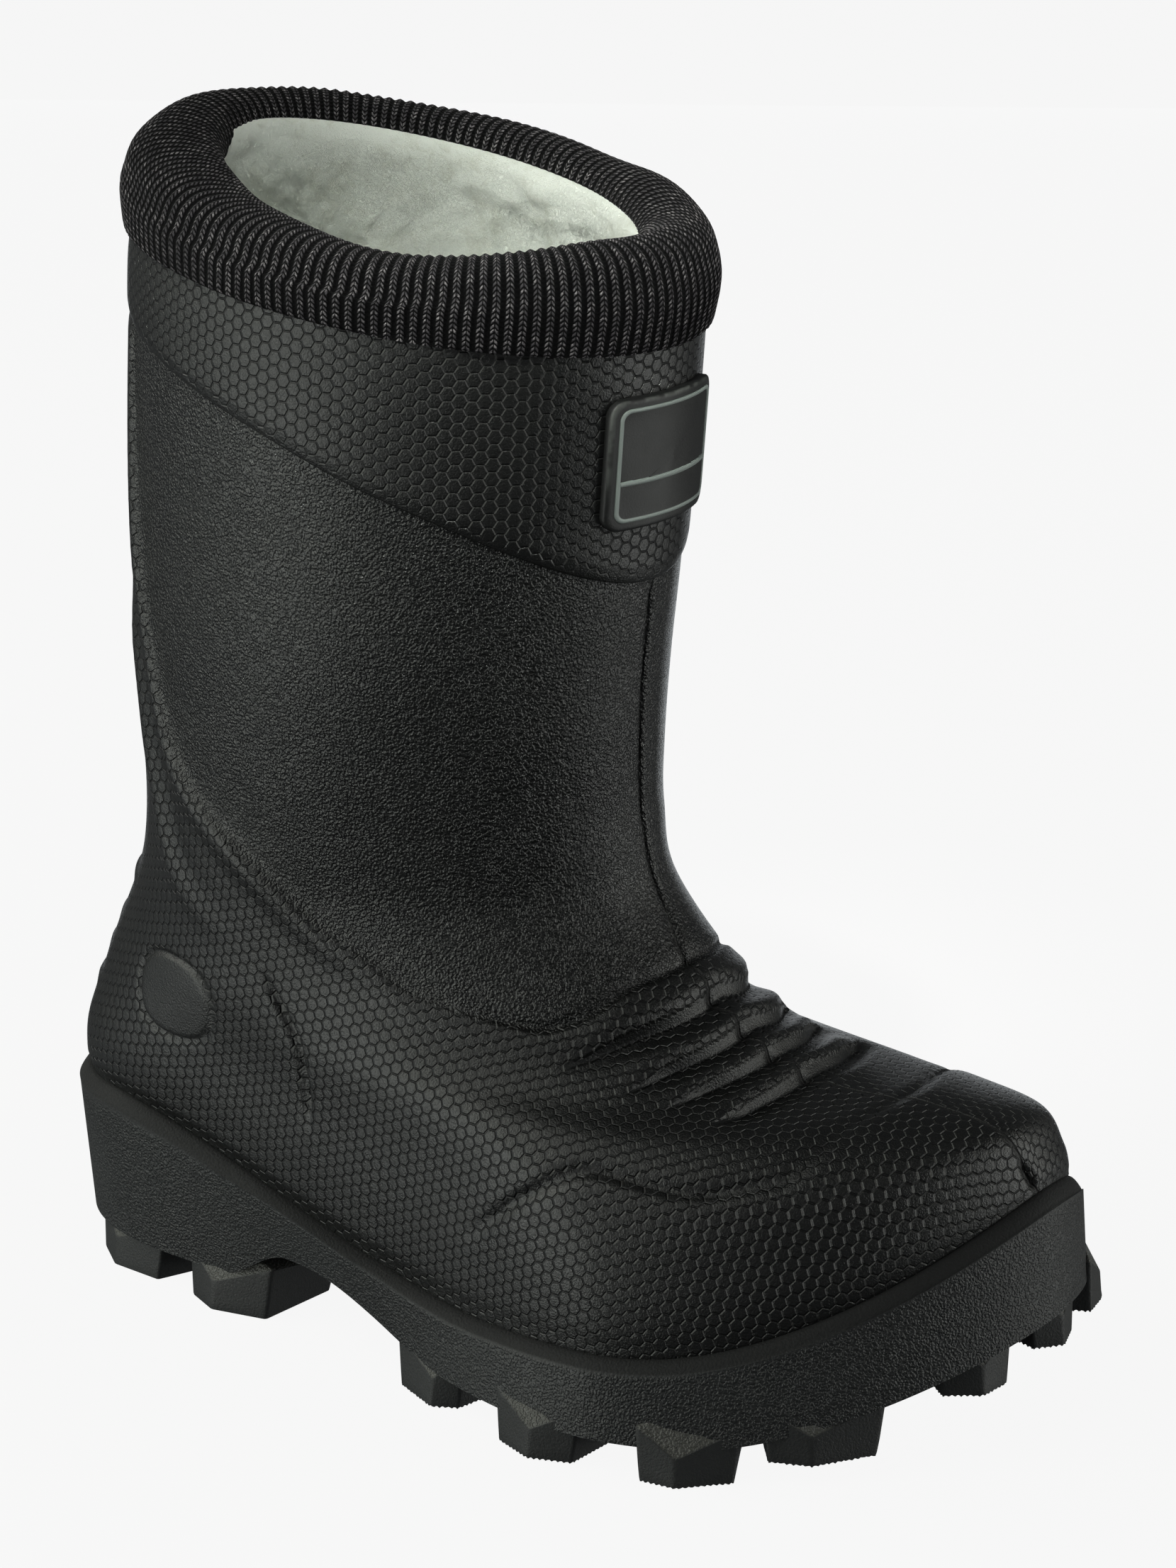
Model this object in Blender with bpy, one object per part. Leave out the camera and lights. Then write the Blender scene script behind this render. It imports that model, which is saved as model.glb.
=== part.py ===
import bmesh
import bpy
import numpy as np

for item in list(bpy.data.objects):
    bpy.data.objects.remove(item, do_unlink=True)

OBJECT_NAME = "lined_rubber_boot"
MM = 0.001

# Main sizes in millimetres. The toe points to +X, the outer side to -Y and the collar to +Z.
LOOP_COLUMNS = 60
WALL = 3.0
CLEAR = 0.3
LEDGE_WIDTH = 2.6
LEDGE_FALL = 0.8
SKIRT_TAPER = 1.5
BAND_STEP = 1.0
BAND_ROW = 10.0
CUFF_LOW_ROW = 11.0
COLLAR_ROW = 12.0
CENTRE_X = 100.3
CENTRE_Y = -0.2

# One row per loop of the upper, from the feather line up to the collar. Each loop runs from a
# point on the back seam to a point on the front seam; half widths are for the outer and inner side.
UPPER_COLUMNS = (
    "back_x", "back_z", "front_x", "front_z", "dip", "toe_in",
    "heel_out", "waist_out", "ball_out", "heel_in", "waist_in", "ball_in",
    "back_len", "front_len", "back_pow", "out_pow", "in_pow",
)
UPPER_ROWS = (
    (-2.2, 37.5, 200.5, 48.0, 23.6, 15.0, 32.0, 37.3, 47.3, 31.5, 31.3, 39.0, 0.20, 0.29, 2.4, 1.65, 2.3),
    (-1.2, 47.0, 199.0, 53.0, 17.0, 14.4, 33.4, 38.0, 46.6, 33.0, 32.0, 38.8, 0.21, 0.30, 2.4, 1.68, 2.35),
    (1.5, 57.0, 195.0, 59.3, 10.5, 12.6, 33.9, 38.0, 44.2, 34.0, 32.5, 38.0, 0.23, 0.34, 2.2, 1.75, 2.35),
    (3.6, 64.0, 181.5, 61.4, 5.0, 10.0, 34.7, 37.8, 41.3, 34.5, 33.0, 36.6, 0.27, 0.41, 2.1, 1.85, 2.1),
    (6.3, 71.0, 161.5, 62.4, 2.0, 7.0, 35.8, 37.0, 38.2, 35.0, 33.7, 36.0, 0.32, 0.50, 2.0, 2.00, 2.0),
    (10.0, 79.0, 142.3, 71.3, 0.0, 4.4, 36.8, 36.5, 36.6, 35.5, 34.7, 36.4, 0.38, 0.57, 2.0, 2.00, 2.0),
    (13.4, 88.0, 124.4, 89.5, 0.0, 2.6, 38.2, 37.3, 36.9, 36.2, 36.0, 36.6, 0.44, 0.56, 2.0, 2.00, 2.0),
    (14.5, 99.0, 120.8, 104.0, 0.0, 1.5, 39.6, 38.7, 38.0, 37.2, 37.0, 37.1, 0.48, 0.52, 2.0, 2.00, 2.0),
    (14.0, 116.0, 120.8, 117.0, 0.0, 0.7, 41.0, 40.5, 39.7, 38.2, 38.0, 38.0, 0.50, 0.50, 2.0, 2.00, 2.0),
    (13.4, 150.0, 122.0, 133.0, 0.0, 0.0, 42.4, 42.4, 42.4, 39.8, 39.8, 39.8, 0.50, 0.50, 2.0, 2.00, 2.0),
    (14.8, 198.0, 124.0, 152.0, -5.0, 0.0, 43.6, 43.6, 43.6, 41.4, 41.4, 41.4, 0.50, 0.50, 2.0, 2.00, 2.0),
    (15.4, 209.0, 127.2, 196.0, -1.5, 0.0, 42.8, 42.8, 42.8, 42.0, 42.0, 42.0, 0.50, 0.50, 2.0, 2.00, 2.0),
    (16.9, 222.5, 126.8, 208.0, 0.0, 0.0, 41.0, 41.0, 41.0, 41.0, 41.0, 41.0, 0.50, 0.50, 2.0, 2.00, 2.0),
)
STATIONS = (0.15, 0.45, 0.72)

# Sole: heights of the footbed and of the underside between the lugs, and the rise of the toe.
BED = {"ball": 12.0, "heel": 24.0, "toe": 28.5}
UNDERSIDE = {"heel": 7.5, "arch": 15.5, "ball": 6.5}
SPRING = {"rise": 18.0, "begin": 148.0, "end": 204.0, "power": 1.6, "turn": 0.21}
FLARE = {"heel": -2.5, "ball": 1.5, "begin": 0.40, "end": 0.60}
WALL_STEPS = (0.0, 0.3, 0.65, 1.0)
INSOLE_THICK = 4.0

# Lugs: outer corner on the ground, compass of the outward face in degrees from +X,
# reach back and forward along the edge, depth inward.
LUG_COLUMNS = ("x", "y", "facing", "back", "front", "depth")
LUG_ROWS = (
    (17.0, -29.8, -108.0, 8.5, 11.5, 15.0),
    (46.0, -34.8, -92.0, 7.5, 11.5, 21.0),
    (106.0, -43.6, -97.0, 10.5, 4.5, 16.0),
    (132.5, -49.8, -90.0, 8.5, 8.0, 18.0),
    (161.0, -44.2, -58.0, 6.5, 10.5, 17.0),
    (180.3, -29.2, -46.0, 7.5, 12.5, 18.0),
    (199.6, -2.6, -30.0, 7.0, 6.5, 11.0),
    (205.4, 16.0, -8.0, 5.4, 6.0, 10.0),
    (201.2, 37.4, 38.0, 6.0, 7.5, 10.0),
    (176.0, 48.6, 78.0, 8.0, 7.0, 18.0),
    (146.0, 49.4, 95.0, 8.0, 7.0, 18.0),
    (108.0, 40.8, 103.0, 4.5, 7.5, 15.0),
    (46.0, 33.0, 92.0, 10.5, 6.0, 19.0),
    (17.0, 29.2, 108.0, 11.5, 6.5, 15.0),
)
LUG_TOP = 6.0
LUG_SHELF = 9.5
LUG_ROOT = 8.2
LUG_SPRING = 0.96
PAD_DRAFT = 1.2
PAD_COLUMNS = ("x", "y", "radius")
PAD_ROWS = (
    (30.0, 0.0, 7.5),
    (122.0, 1.0, 8.0),
    (146.0, 4.0, 8.0),
    (171.0, 9.0, 7.5),
)

# Cuff section: outward from the wall and up from the collar edge, from the outer lip over the roll.
CUFF_COLUMNS = ("out", "up")
CUFF_ROWS = (
    (1.7, -13.2),
    (2.3, -12.2),
    (2.8, -9.6),
    (3.4, -5.4),
    (3.4, -1.0),
    (1.9, 3.4),
    (-1.4, 5.9),
    (-5.2, 6.4),
    (-8.8, 4.9),
    (-11.0, 1.4),
    (-11.4, -3.5),
    (-9.8, -8.6),
)
CUFF_SLOT_DEEP = -13.2
CUFF_SLOT_IN = -8.6

# Badge on the front of the shaft: half width along the wall, heights, thickness, corner radius.
BADGE = {"half": 14.4, "low": 163.5, "high": 187.5, "thick": 1.4, "corner": 3.0}
BADGE_GRID = {"columns": 12, "rows": 8}

COLOURS = {
    "upper": (0.016, 0.017, 0.016, 0.52),
    "sole": (0.013, 0.014, 0.014, 0.60),
    "insole": (0.52, 0.54, 0.50, 0.95),
    "knit_cuff": (0.020, 0.019, 0.022, 0.92),
    "badge": (0.014, 0.015, 0.015, 0.50),
}


def smooth(q):
    q = np.clip(q, 0.0, 1.0)
    return q * q * (3.0 - 2.0 * q)


def table(columns, rows):
    return {name: np.array([row[i] for row in rows], float) for i, name in enumerate(columns)}


def through(values, v):
    """A smooth curve through values at whole v."""
    last = len(values) - 1
    v = np.clip(v, 0.0, last)
    i = np.clip(v.astype(int), 0, last - 1)
    q = v - i
    p1 = values[i]
    p2 = values[i + 1]
    p0 = np.where(i > 0, values[np.maximum(i - 1, 0)], 2 * p1 - p2)
    p3 = np.where(i < last - 1, values[np.minimum(i + 2, last)], 2 * p2 - p1)
    bend = (p2 - p0) * q + (2 * p0 - 5 * p1 + 4 * p2 - p3) * q**2 + (3 * p1 - p0 - 3 * p2 + p3) * q**3
    return p1 + 0.5 * bend


def half_width(a, heel, waist, ball):
    """Half width along a loop through its heel, waist and ball stations."""
    slope = (ball - heel) / (STATIONS[2] - STATIONS[0])

    def piece(start, end, w0, w1, m0, m1):
        d = end - start
        q = np.clip((a - start) / d, 0.0, 1.0)
        ease = smooth(q)
        return w0 + (w1 - w0) * ease + d * m0 * (q**3 - 2 * q**2 + q) + d * m1 * (q**3 - q**2)

    rear = piece(STATIONS[0], STATIONS[1], heel, waist, 0.0, slope)
    fore = piece(STATIONS[1], STATIONS[2], waist, ball, slope, 0.0)
    return np.where(a < STATIONS[1], rear, fore)


UPPER = table(UPPER_COLUMNS, UPPER_ROWS)


def loop_place(t):
    """Side, arc share and length share of the place t along a loop."""
    outer = t <= 1.0
    s = np.where(outer, t, 2.0 - t)
    return outer, s, (1.0 - np.cos(np.pi * s)) / 2.0


def upper_point(t, v):
    """Outside of the upper: t runs 0 to 1 over the outer side and 1 to 2 back over the inner side."""
    t, v = np.broadcast_arrays(np.asarray(t, float), np.asarray(v, float))
    row = {name: through(values, v) for name, values in UPPER.items()}
    outer, s, a = loop_place(t)
    wide_out = half_width(a, row["heel_out"], row["waist_out"], row["ball_out"])
    wide_in = half_width(a, row["heel_in"], row["waist_in"], row["ball_in"])
    back = np.clip(1.0 - a / row["back_len"], 0.0, 1.0)
    front = np.clip(1.0 - (1.0 - a) / row["front_len"], 0.0, 1.0)
    power = np.where(outer, row["out_pow"], row["in_pow"])
    round_back = np.clip(1.0 - back ** row["back_pow"], 0.0, 1.0) ** (1.0 / row["back_pow"])
    round_front = np.clip(1.0 - front**power, 0.0, 1.0) ** (1.0 / power)
    side = np.where(outer, -wide_out, wide_in) * round_back * round_front
    hollow = 1.0 - smooth((0.56 - s) / 0.36) - smooth((s - 0.66) / 0.34)
    x = row["back_x"] + (row["front_x"] - row["back_x"]) * a
    y = side + row["toe_in"] * a**4
    z = row["back_z"] + (row["front_z"] - row["back_z"]) * a - row["dip"] * hollow
    return np.stack([x, y, z], -1)


def bed_height(a):
    heel = BED["heel"] - BED["ball"]
    toe = BED["toe"] - BED["ball"]
    return BED["ball"] + heel * smooth((0.62 - a) / 0.45) + toe * smooth((a - 0.72) / 0.30)


def toe_spring(x, y):
    along = x * np.cos(SPRING["turn"]) + y * np.sin(SPRING["turn"])
    q = np.clip((along - SPRING["begin"]) / (SPRING["end"] - SPRING["begin"]), 0.0, 1.2)
    return SPRING["rise"] * q ** SPRING["power"]


def underside(a, x, y):
    heel = UNDERSIDE["heel"] - UNDERSIDE["ball"]
    arch = UNDERSIDE["arch"] - UNDERSIDE["ball"]
    bow = smooth((a - 0.24) / 0.09) * smooth((0.56 - a) / 0.22)
    flat = UNDERSIDE["ball"] + heel * smooth((0.5 - a) / 0.2) * (1 - bow)
    return flat + arch * bow + toe_spring(x, y)


def spread(loop, amount):
    """Move a loop outward in plan by amount."""
    along = np.roll(loop, -1, 0) - np.roll(loop, 1, 0)
    normal = np.stack([along[:, 1], -along[:, 0]], -1)
    normal /= np.linalg.norm(normal, axis=1, keepdims=True)
    if np.sum((loop[:, :2] - loop[:, :2].mean(0)) * normal) < 0:
        normal = -normal
    out = loop.copy()
    out[:, :2] += normal * np.broadcast_to(amount, len(loop))[:, None]
    return out


T = np.arange(LOOP_COLUMNS) * 2.0 / LOOP_COLUMNS
OUTER_SIDE, ARC, LENGTH = loop_place(T)
FEATHER = upper_point(T, 0.0)


def skirt(q, out):
    """Loop of the hidden lower edge of the upper: q 0 at the feather line, 1 on the footbed."""
    loop = spread(FEATHER, out - SKIRT_TAPER * q)
    loop[:, 2] = FEATHER[:, 2] + (bed_height(LENGTH) - FEATHER[:, 2]) * q
    return loop


def wall_normal(t, v):
    e = 0.01
    before = np.where(t < e, t + 2.0, t) - e
    along = upper_point(t + e, v) - upper_point(before, v)
    rise = upper_point(t, np.minimum(v + e, COLLAR_ROW)) - upper_point(t, np.maximum(v - e, 0.0))
    normal = np.cross(along, rise)
    return normal / np.linalg.norm(normal, axis=-1, keepdims=True)


def wall_point(t, v, out):
    """Point of the upper moved outward along the wall by out."""
    return upper_point(t, v) + wall_normal(t, v) * out


def band_out(v):
    """Step of the band over the wall, fading away under the cuff."""
    return np.where(v > BAND_ROW, BAND_STEP * np.clip(COLLAR_ROW - v, 0.0, 1.0), 0.0)


def below_collar(drop):
    """Rows of the loop on the wall a given drop below the collar edge."""
    goal = upper_point(T, COLLAR_ROW)[:, 2] - drop
    v = np.full(LOOP_COLUMNS, COLLAR_ROW)
    for _ in range(40):
        v = np.clip(v + (goal - upper_point(T, v)[:, 2]) / 60.0, 0.0, COLLAR_ROW)
    return v


class Solid:
    """Vertices and faces of one piece, gathered loop by loop."""

    def __init__(self):
        self.points = []
        self.faces = []
        self.count = 0

    def add(self, points):
        points = np.asarray(points, float).reshape(-1, 3)
        start = self.count
        self.points.append(points)
        self.count += len(points)
        return np.arange(start, self.count)

    def band(self, low, high):
        """Quads between two closed loops."""
        low_next = np.roll(low, -1)
        high_next = np.roll(high, -1)
        self.faces += np.stack([low, low_next, high_next, high], -1).tolist()

    def sheet(self, loop_ids, loop_points, columns, height):
        """A sheet across a closed loop, its rows joining the outer and the inner side."""
        half = LOOP_COLUMNS // 2
        rows = [np.repeat(loop_ids[0], columns + 1)]
        share = np.linspace(0.0, 1.0, columns + 1)[1:-1, None]
        for i in range(1, half):
            near = loop_points[i]
            far = loop_points[LOOP_COLUMNS - i]
            cross = near + (far - near) * share
            cross[:, 2] = height(cross, LENGTH[i])
            inside = self.add(cross)
            rows.append(np.concatenate([[loop_ids[i]], inside, [loop_ids[LOOP_COLUMNS - i]]]))
        rows.append(np.repeat(loop_ids[half], columns + 1))
        for row, following in zip(rows[:-1], rows[1:]):
            for k in range(columns):
                face = [row[k], row[k + 1], following[k + 1], following[k]]
                face = list(dict.fromkeys(int(i) for i in face))
                self.faces.append(face)

    def build(self, name, material, collection):
        points = np.concatenate(self.points)
        points = (points - np.array([CENTRE_X, CENTRE_Y, 0.0])) * MM
        mesh = bpy.data.meshes.new(name)
        mesh.from_pydata(points.tolist(), [], self.faces)
        work = bmesh.new()
        work.from_mesh(mesh)
        bmesh.ops.recalc_face_normals(work, faces=work.faces)
        bmesh.ops.triangulate(work, faces=[f for f in work.faces if len(f.verts) > 3])
        work.to_mesh(mesh)
        work.free()
        thing = bpy.data.objects.new(name, mesh)
        collection.objects.link(thing)
        if material is not None:
            mesh.materials.append(material)
        return thing


def new_collection(name):
    group = bpy.data.collections.new(name)
    bpy.context.scene.collection.children.link(group)
    return group


def new_material(name):
    red, green, blue, rough = COLOURS[name]
    material = bpy.data.materials.new(name)
    material.use_nodes = True
    shader = material.node_tree.nodes["Principled BSDF"]
    shader.inputs["Base Color"].default_value = (red, green, blue, 1.0)
    shader.inputs["Roughness"].default_value = rough
    return material


def make_upper(group):
    solid = Solid()
    rows = np.concatenate(
        [
            np.linspace(0.0, BAND_ROW, 25),
            np.linspace(BAND_ROW + 0.02, CUFF_LOW_ROW, 4),
            np.linspace(CUFF_LOW_ROW, COLLAR_ROW, 3)[1:],
        ]
    )
    loops = [skirt(1.0, 0.0), skirt(0.5, 0.0)]
    loops[0][:, 2] += CLEAR
    for v in rows:
        loops.append(wall_point(T, v, band_out(v)))
    for v in np.linspace(COLLAR_ROW, 0.5, 14):
        loops.append(wall_point(T, v, -WALL))
    loops.append(skirt(0.0, -WALL))
    loops.append(skirt(1.0, -WALL))
    loops[-1][:, 2] += CLEAR
    ids = [solid.add(loop) for loop in loops]
    for low, high in zip(ids, ids[1:] + ids[:1]):
        solid.band(low, high)
    return solid.build("upper", new_material("upper"), group)


def make_lugs(group):
    lugs = table(LUG_COLUMNS, LUG_ROWS)
    pads = table(PAD_COLUMNS, PAD_ROWS)
    mesh = bpy.data.meshes.new("lugs")
    work = bmesh.new()
    for i in range(len(LUG_ROWS)):
        corner = np.array([lugs["x"][i], lugs["y"][i]])
        turn = np.radians(lugs["facing"][i])
        out = np.array([np.cos(turn), np.sin(turn)])
        along = np.array([-np.sin(turn), np.cos(turn)])
        back = lugs["back"][i]
        front = lugs["front"][i]
        depth = lugs["depth"][i]
        base = toe_spring(*corner) * LUG_SPRING
        plan = [(-3.0, -back), (0.0, 0.0), (-3.0, front), (-depth, front + 1.0), (-depth, -back + 1.0)]
        low = [corner + out * u + along * w for u, w in plan]
        high = [corner + out * (u - 0.6) + along * w * 1.12 for u, w in plan]
        rise = [LUG_SHELF, LUG_TOP, LUG_SHELF, LUG_ROOT, LUG_ROOT]
        points = [(p[0], p[1], base) for p in low]
        points += [(p[0], p[1], base + h) for p, h in zip(high, rise)]
        add_hull(work, points)
    for x, y, radius in zip(pads["x"], pads["y"], pads["radius"]):
        base = toe_spring(x, y) * LUG_SPRING
        turns = np.radians(np.arange(6) * 60.0)
        points = []
        for reach, height in ((radius, base), (radius + PAD_DRAFT, base + LUG_ROOT)):
            points += [(x + reach * np.cos(k), y + reach * np.sin(k), height) for k in turns]
        add_hull(work, points)
    bmesh.ops.recalc_face_normals(work, faces=work.faces)
    work.to_mesh(mesh)
    work.free()
    thing = bpy.data.objects.new("lugs", mesh)
    group.objects.link(thing)
    thing.hide_render = True
    thing.display_type = "WIRE"
    return thing


def add_hull(work, points):
    middle = np.array([CENTRE_X, CENTRE_Y, 0.0])
    verts = [work.verts.new((np.array(p) - middle) * MM) for p in points]
    made = bmesh.ops.convex_hull(work, input=verts)
    spare = [v for v in made["geom_interior"] if isinstance(v, bmesh.types.BMVert)]
    bmesh.ops.delete(work, geom=spare, context="VERTS")


def make_sole(group, cutters):
    solid = Solid()
    flare = FLARE["heel"] + (FLARE["ball"] - FLARE["heel"]) * smooth(
        (ARC - FLARE["begin"]) / (FLARE["end"] - FLARE["begin"])
    )
    rim = FEATHER[:, 2] - LEDGE_FALL
    walls = []
    for q in WALL_STEPS:
        loop = spread(FEATHER, LEDGE_WIDTH + flare * q)
        foot = underside(LENGTH, loop[:, 0], loop[:, 1])
        loop[:, 2] = rim + (foot - rim) * q
        walls.append(loop)
    groove = [skirt(0.0, CLEAR), skirt(1.0, CLEAR)]
    loops = [walls[3], walls[2], walls[1], walls[0]] + groove
    ids = [solid.add(loop) for loop in loops]
    for low, high in zip(ids[:-1], ids[1:]):
        solid.band(low, high)
    solid.sheet(ids[0], loops[0], 6, lambda p, a: underside(a, p[:, 0], p[:, 1]))
    solid.sheet(ids[-1], loops[-1], 4, lambda p, a: bed_height(a))
    thing = solid.build("sole", new_material("sole"), group)
    lugs = make_lugs(cutters)
    union = thing.modifiers.new("lugs", "BOOLEAN")
    union.operation = "UNION"
    union.solver = "EXACT"
    union.object = lugs
    return thing


def make_insole(group):
    solid = Solid()
    low = skirt(1.0, -WALL - CLEAR - 0.2)
    low[:, 2] += CLEAR
    high = low.copy()
    high[:, 2] += INSOLE_THICK
    low_ids = solid.add(low)
    high_ids = solid.add(high)
    solid.band(low_ids, high_ids)
    solid.sheet(low_ids, low, 4, lambda p, a: bed_height(a) + CLEAR)
    solid.sheet(high_ids, high, 4, lambda p, a: bed_height(a) + CLEAR + INSOLE_THICK)
    return solid.build("insole", new_material("insole"), group)


def make_cuff(group):
    solid = Solid()
    top = upper_point(T, COLLAR_ROW)
    outside = CLEAR + 0.1
    inside = -WALL - CLEAR - 0.1

    def ring(out, up, band=0.0):
        v = below_collar(max(-up, 0.0))
        loop = spread(upper_point(T, v), out + band * band_out(v))
        loop[:, 2] = top[:, 2] + up
        return loop

    loops = [ring(out, up) for out, up in CUFF_ROWS]
    loops += [ring(inside, CUFF_SLOT_IN), ring(inside, CLEAR)]
    loops += [ring(outside, up, 1.0) for up in (CLEAR, CUFF_SLOT_DEEP / 2.0, CUFF_SLOT_DEEP)]
    ids = [solid.add(loop) for loop in loops]
    for low, high in zip(ids, ids[1:] + ids[:1]):
        solid.band(low, high)
    return solid.build("knit_cuff", new_material("knit_cuff"), group)


def make_badge(group):
    solid = Solid()
    columns = BADGE_GRID["columns"]
    rows = BADGE_GRID["rows"]
    u = np.linspace(-1.0, 1.0, columns + 1)[None, :]
    w = np.linspace(0.0, 1.0, rows + 1)[:, None]
    tall = (BADGE["high"] - BADGE["low"]) / 2.0
    edge = np.clip(np.abs(2.0 * w - 1.0) * tall - (tall - BADGE["corner"]), 0.0, BADGE["corner"])
    pull = BADGE["corner"] - np.sqrt(np.clip(BADGE["corner"] ** 2 - edge**2, 0.0, None))
    y = u * (BADGE["half"] - pull)
    z = BADGE["low"] + 2.0 * tall * w + 0.0 * u
    t, v = place_on_front(y, z)
    layers = []
    for out in (BAND_STEP + CLEAR, BAND_STEP + CLEAR + BADGE["thick"]):
        layers.append(solid.add(wall_point(t, v, out)).reshape(rows + 1, columns + 1))
    under, over = layers
    for layer in layers:
        quads = np.stack([layer[:-1, :-1], layer[:-1, 1:], layer[1:, 1:], layer[1:, :-1]], -1)
        solid.faces += quads.reshape(-1, 4).tolist()

    def outline(layer):
        return np.concatenate([layer[0, :-1], layer[:-1, -1], layer[-1, :0:-1], layer[:0:-1, 0]])

    solid.band(outline(under), outline(over))
    return solid.build("badge", new_material("badge"), group)


def place_on_front(y, z):
    """Loop places of points on the front of the shaft given by their breadth and height."""
    t = 1.0 + 0.0 * y
    v = BAND_ROW + 0.5 + 0.0 * y
    for _ in range(40):
        p = upper_point(t, v)
        t = np.clip(t + (y - p[..., 1]) / 160.0, 0.6, 1.4)
        v = np.clip(v + (z - p[..., 2]) / 70.0, BAND_ROW, CUFF_LOW_ROW)
    return t, v


boot = new_collection(OBJECT_NAME)
cutters = new_collection("cutters")
make_sole(boot, cutters)
make_insole(boot)
make_upper(boot)
make_cuff(boot)
make_badge(boot)
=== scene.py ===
import math
import bpy
import numpy as np
from mathutils import Matrix, Vector


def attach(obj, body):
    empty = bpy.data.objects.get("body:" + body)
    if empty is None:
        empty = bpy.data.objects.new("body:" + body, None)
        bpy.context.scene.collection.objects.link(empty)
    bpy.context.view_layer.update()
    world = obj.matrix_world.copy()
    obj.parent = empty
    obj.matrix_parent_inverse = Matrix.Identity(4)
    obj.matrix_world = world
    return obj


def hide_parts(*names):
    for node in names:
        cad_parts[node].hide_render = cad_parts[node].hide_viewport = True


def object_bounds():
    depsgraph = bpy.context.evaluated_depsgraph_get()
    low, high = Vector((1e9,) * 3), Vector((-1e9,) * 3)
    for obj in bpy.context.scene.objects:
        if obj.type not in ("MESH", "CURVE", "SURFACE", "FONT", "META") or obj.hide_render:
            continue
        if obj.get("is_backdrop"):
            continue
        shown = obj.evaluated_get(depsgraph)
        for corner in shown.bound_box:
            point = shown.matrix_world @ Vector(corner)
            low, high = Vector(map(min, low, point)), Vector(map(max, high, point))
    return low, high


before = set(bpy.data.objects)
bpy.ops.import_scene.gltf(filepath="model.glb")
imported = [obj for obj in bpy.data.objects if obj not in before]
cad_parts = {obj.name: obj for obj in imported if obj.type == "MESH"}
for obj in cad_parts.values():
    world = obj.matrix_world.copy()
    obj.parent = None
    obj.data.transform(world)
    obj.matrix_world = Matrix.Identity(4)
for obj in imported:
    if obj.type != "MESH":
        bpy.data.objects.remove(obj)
cadBox = [[float(c) for c in corner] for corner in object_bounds()]
print("frame loaded:", sorted(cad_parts))

# Everything below is worked out in millimetres with the heel near x = 0, and moved to the frame at the end.
frameOrigin = np.array([100.3, -0.2, 0.0])


def toFrame(points):  # millimetres of the boot to metres of the frame
    return (np.asarray(points, float) - frameOrigin) * 0.001


def ease(q):  # smooth step from 0 to 1
    q = np.clip(q, 0.0, 1.0)
    return q * q * (3.0 - 2.0 * q)


def bump(d, width):  # bell curve, 1 at d = 0
    return np.exp(-(d / width) ** 2)


def splineWeights(q):  # the four weights of a curve through its points
    return np.stack([
        0.5 * (-q + 2 * q**2 - q**3),
        0.5 * (2 - 5 * q**2 + 3 * q**3),
        0.5 * (q + 4 * q**2 - 3 * q**3),
        0.5 * (-q**2 + q**3),
    ])


def padEnds(values, count=2):  # carries a table on in a straight line past both ends
    steps = np.arange(1, count + 1).reshape((-1,) + (1,) * (values.ndim - 1))
    first = values[0] + (values[0] - values[1]) * steps[::-1]
    last = values[-1] + (values[-1] - values[-2]) * steps
    return np.concatenate([first, values, last])


def curveThrough(values, q):  # smooth curve through rows of a table at places q
    padded = padEnds(np.asarray(values, float))
    i = np.clip(np.floor(q).astype(int), -1, len(values) - 1)
    weight = splineWeights(q - i)
    return sum(weight[k].reshape(np.shape(q) + (1,) * (padded.ndim - 1)) * padded[i + 1 + k] for k in range(4))


def gridAt(values, r, c):  # smooth surface through a grid of values at places (r, c)
    padded = padEnds(padEnds(values).swapaxes(0, 1)).swapaxes(0, 1)
    i = np.clip(np.floor(r).astype(int), -1, values.shape[0] - 1)
    j = np.clip(np.floor(c).astype(int), -1, values.shape[1] - 1)
    wr = splineWeights(r - i)
    wc = splineWeights(c - j)
    total = 0.0
    for a in range(4):
        for b in range(4):
            total = total + (wr[a] * wc[b])[..., None] * padded[i + 1 + a, j + 1 + b]
    return total


def unit(vectors):  # each vector over its own length
    return vectors / np.maximum(np.linalg.norm(vectors, axis=-1, keepdims=True), 1e-12)


def runAlong(path):  # distance walked from the first point of a path to each of its points
    return np.concatenate([[0.0], np.cumsum(np.linalg.norm(np.diff(path, axis=0), axis=1))])


def ringPlaces(columns):  # places t round a loop: 0 to 1 over the outer side, 1 to 2 back over the inner one
    return np.arange(columns) * 2.0 / columns


def sideShare(t):  # t folded over, so that both sides run from 0 at the back to 1 at the front
    return np.where(t <= 1.0, t, 2.0 - t)


def lengthShare(t):  # share of the length at t: half a cosine wave, so places crowd at both ends
    return (1.0 - np.cos(np.pi * t)) / 2.0


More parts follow.
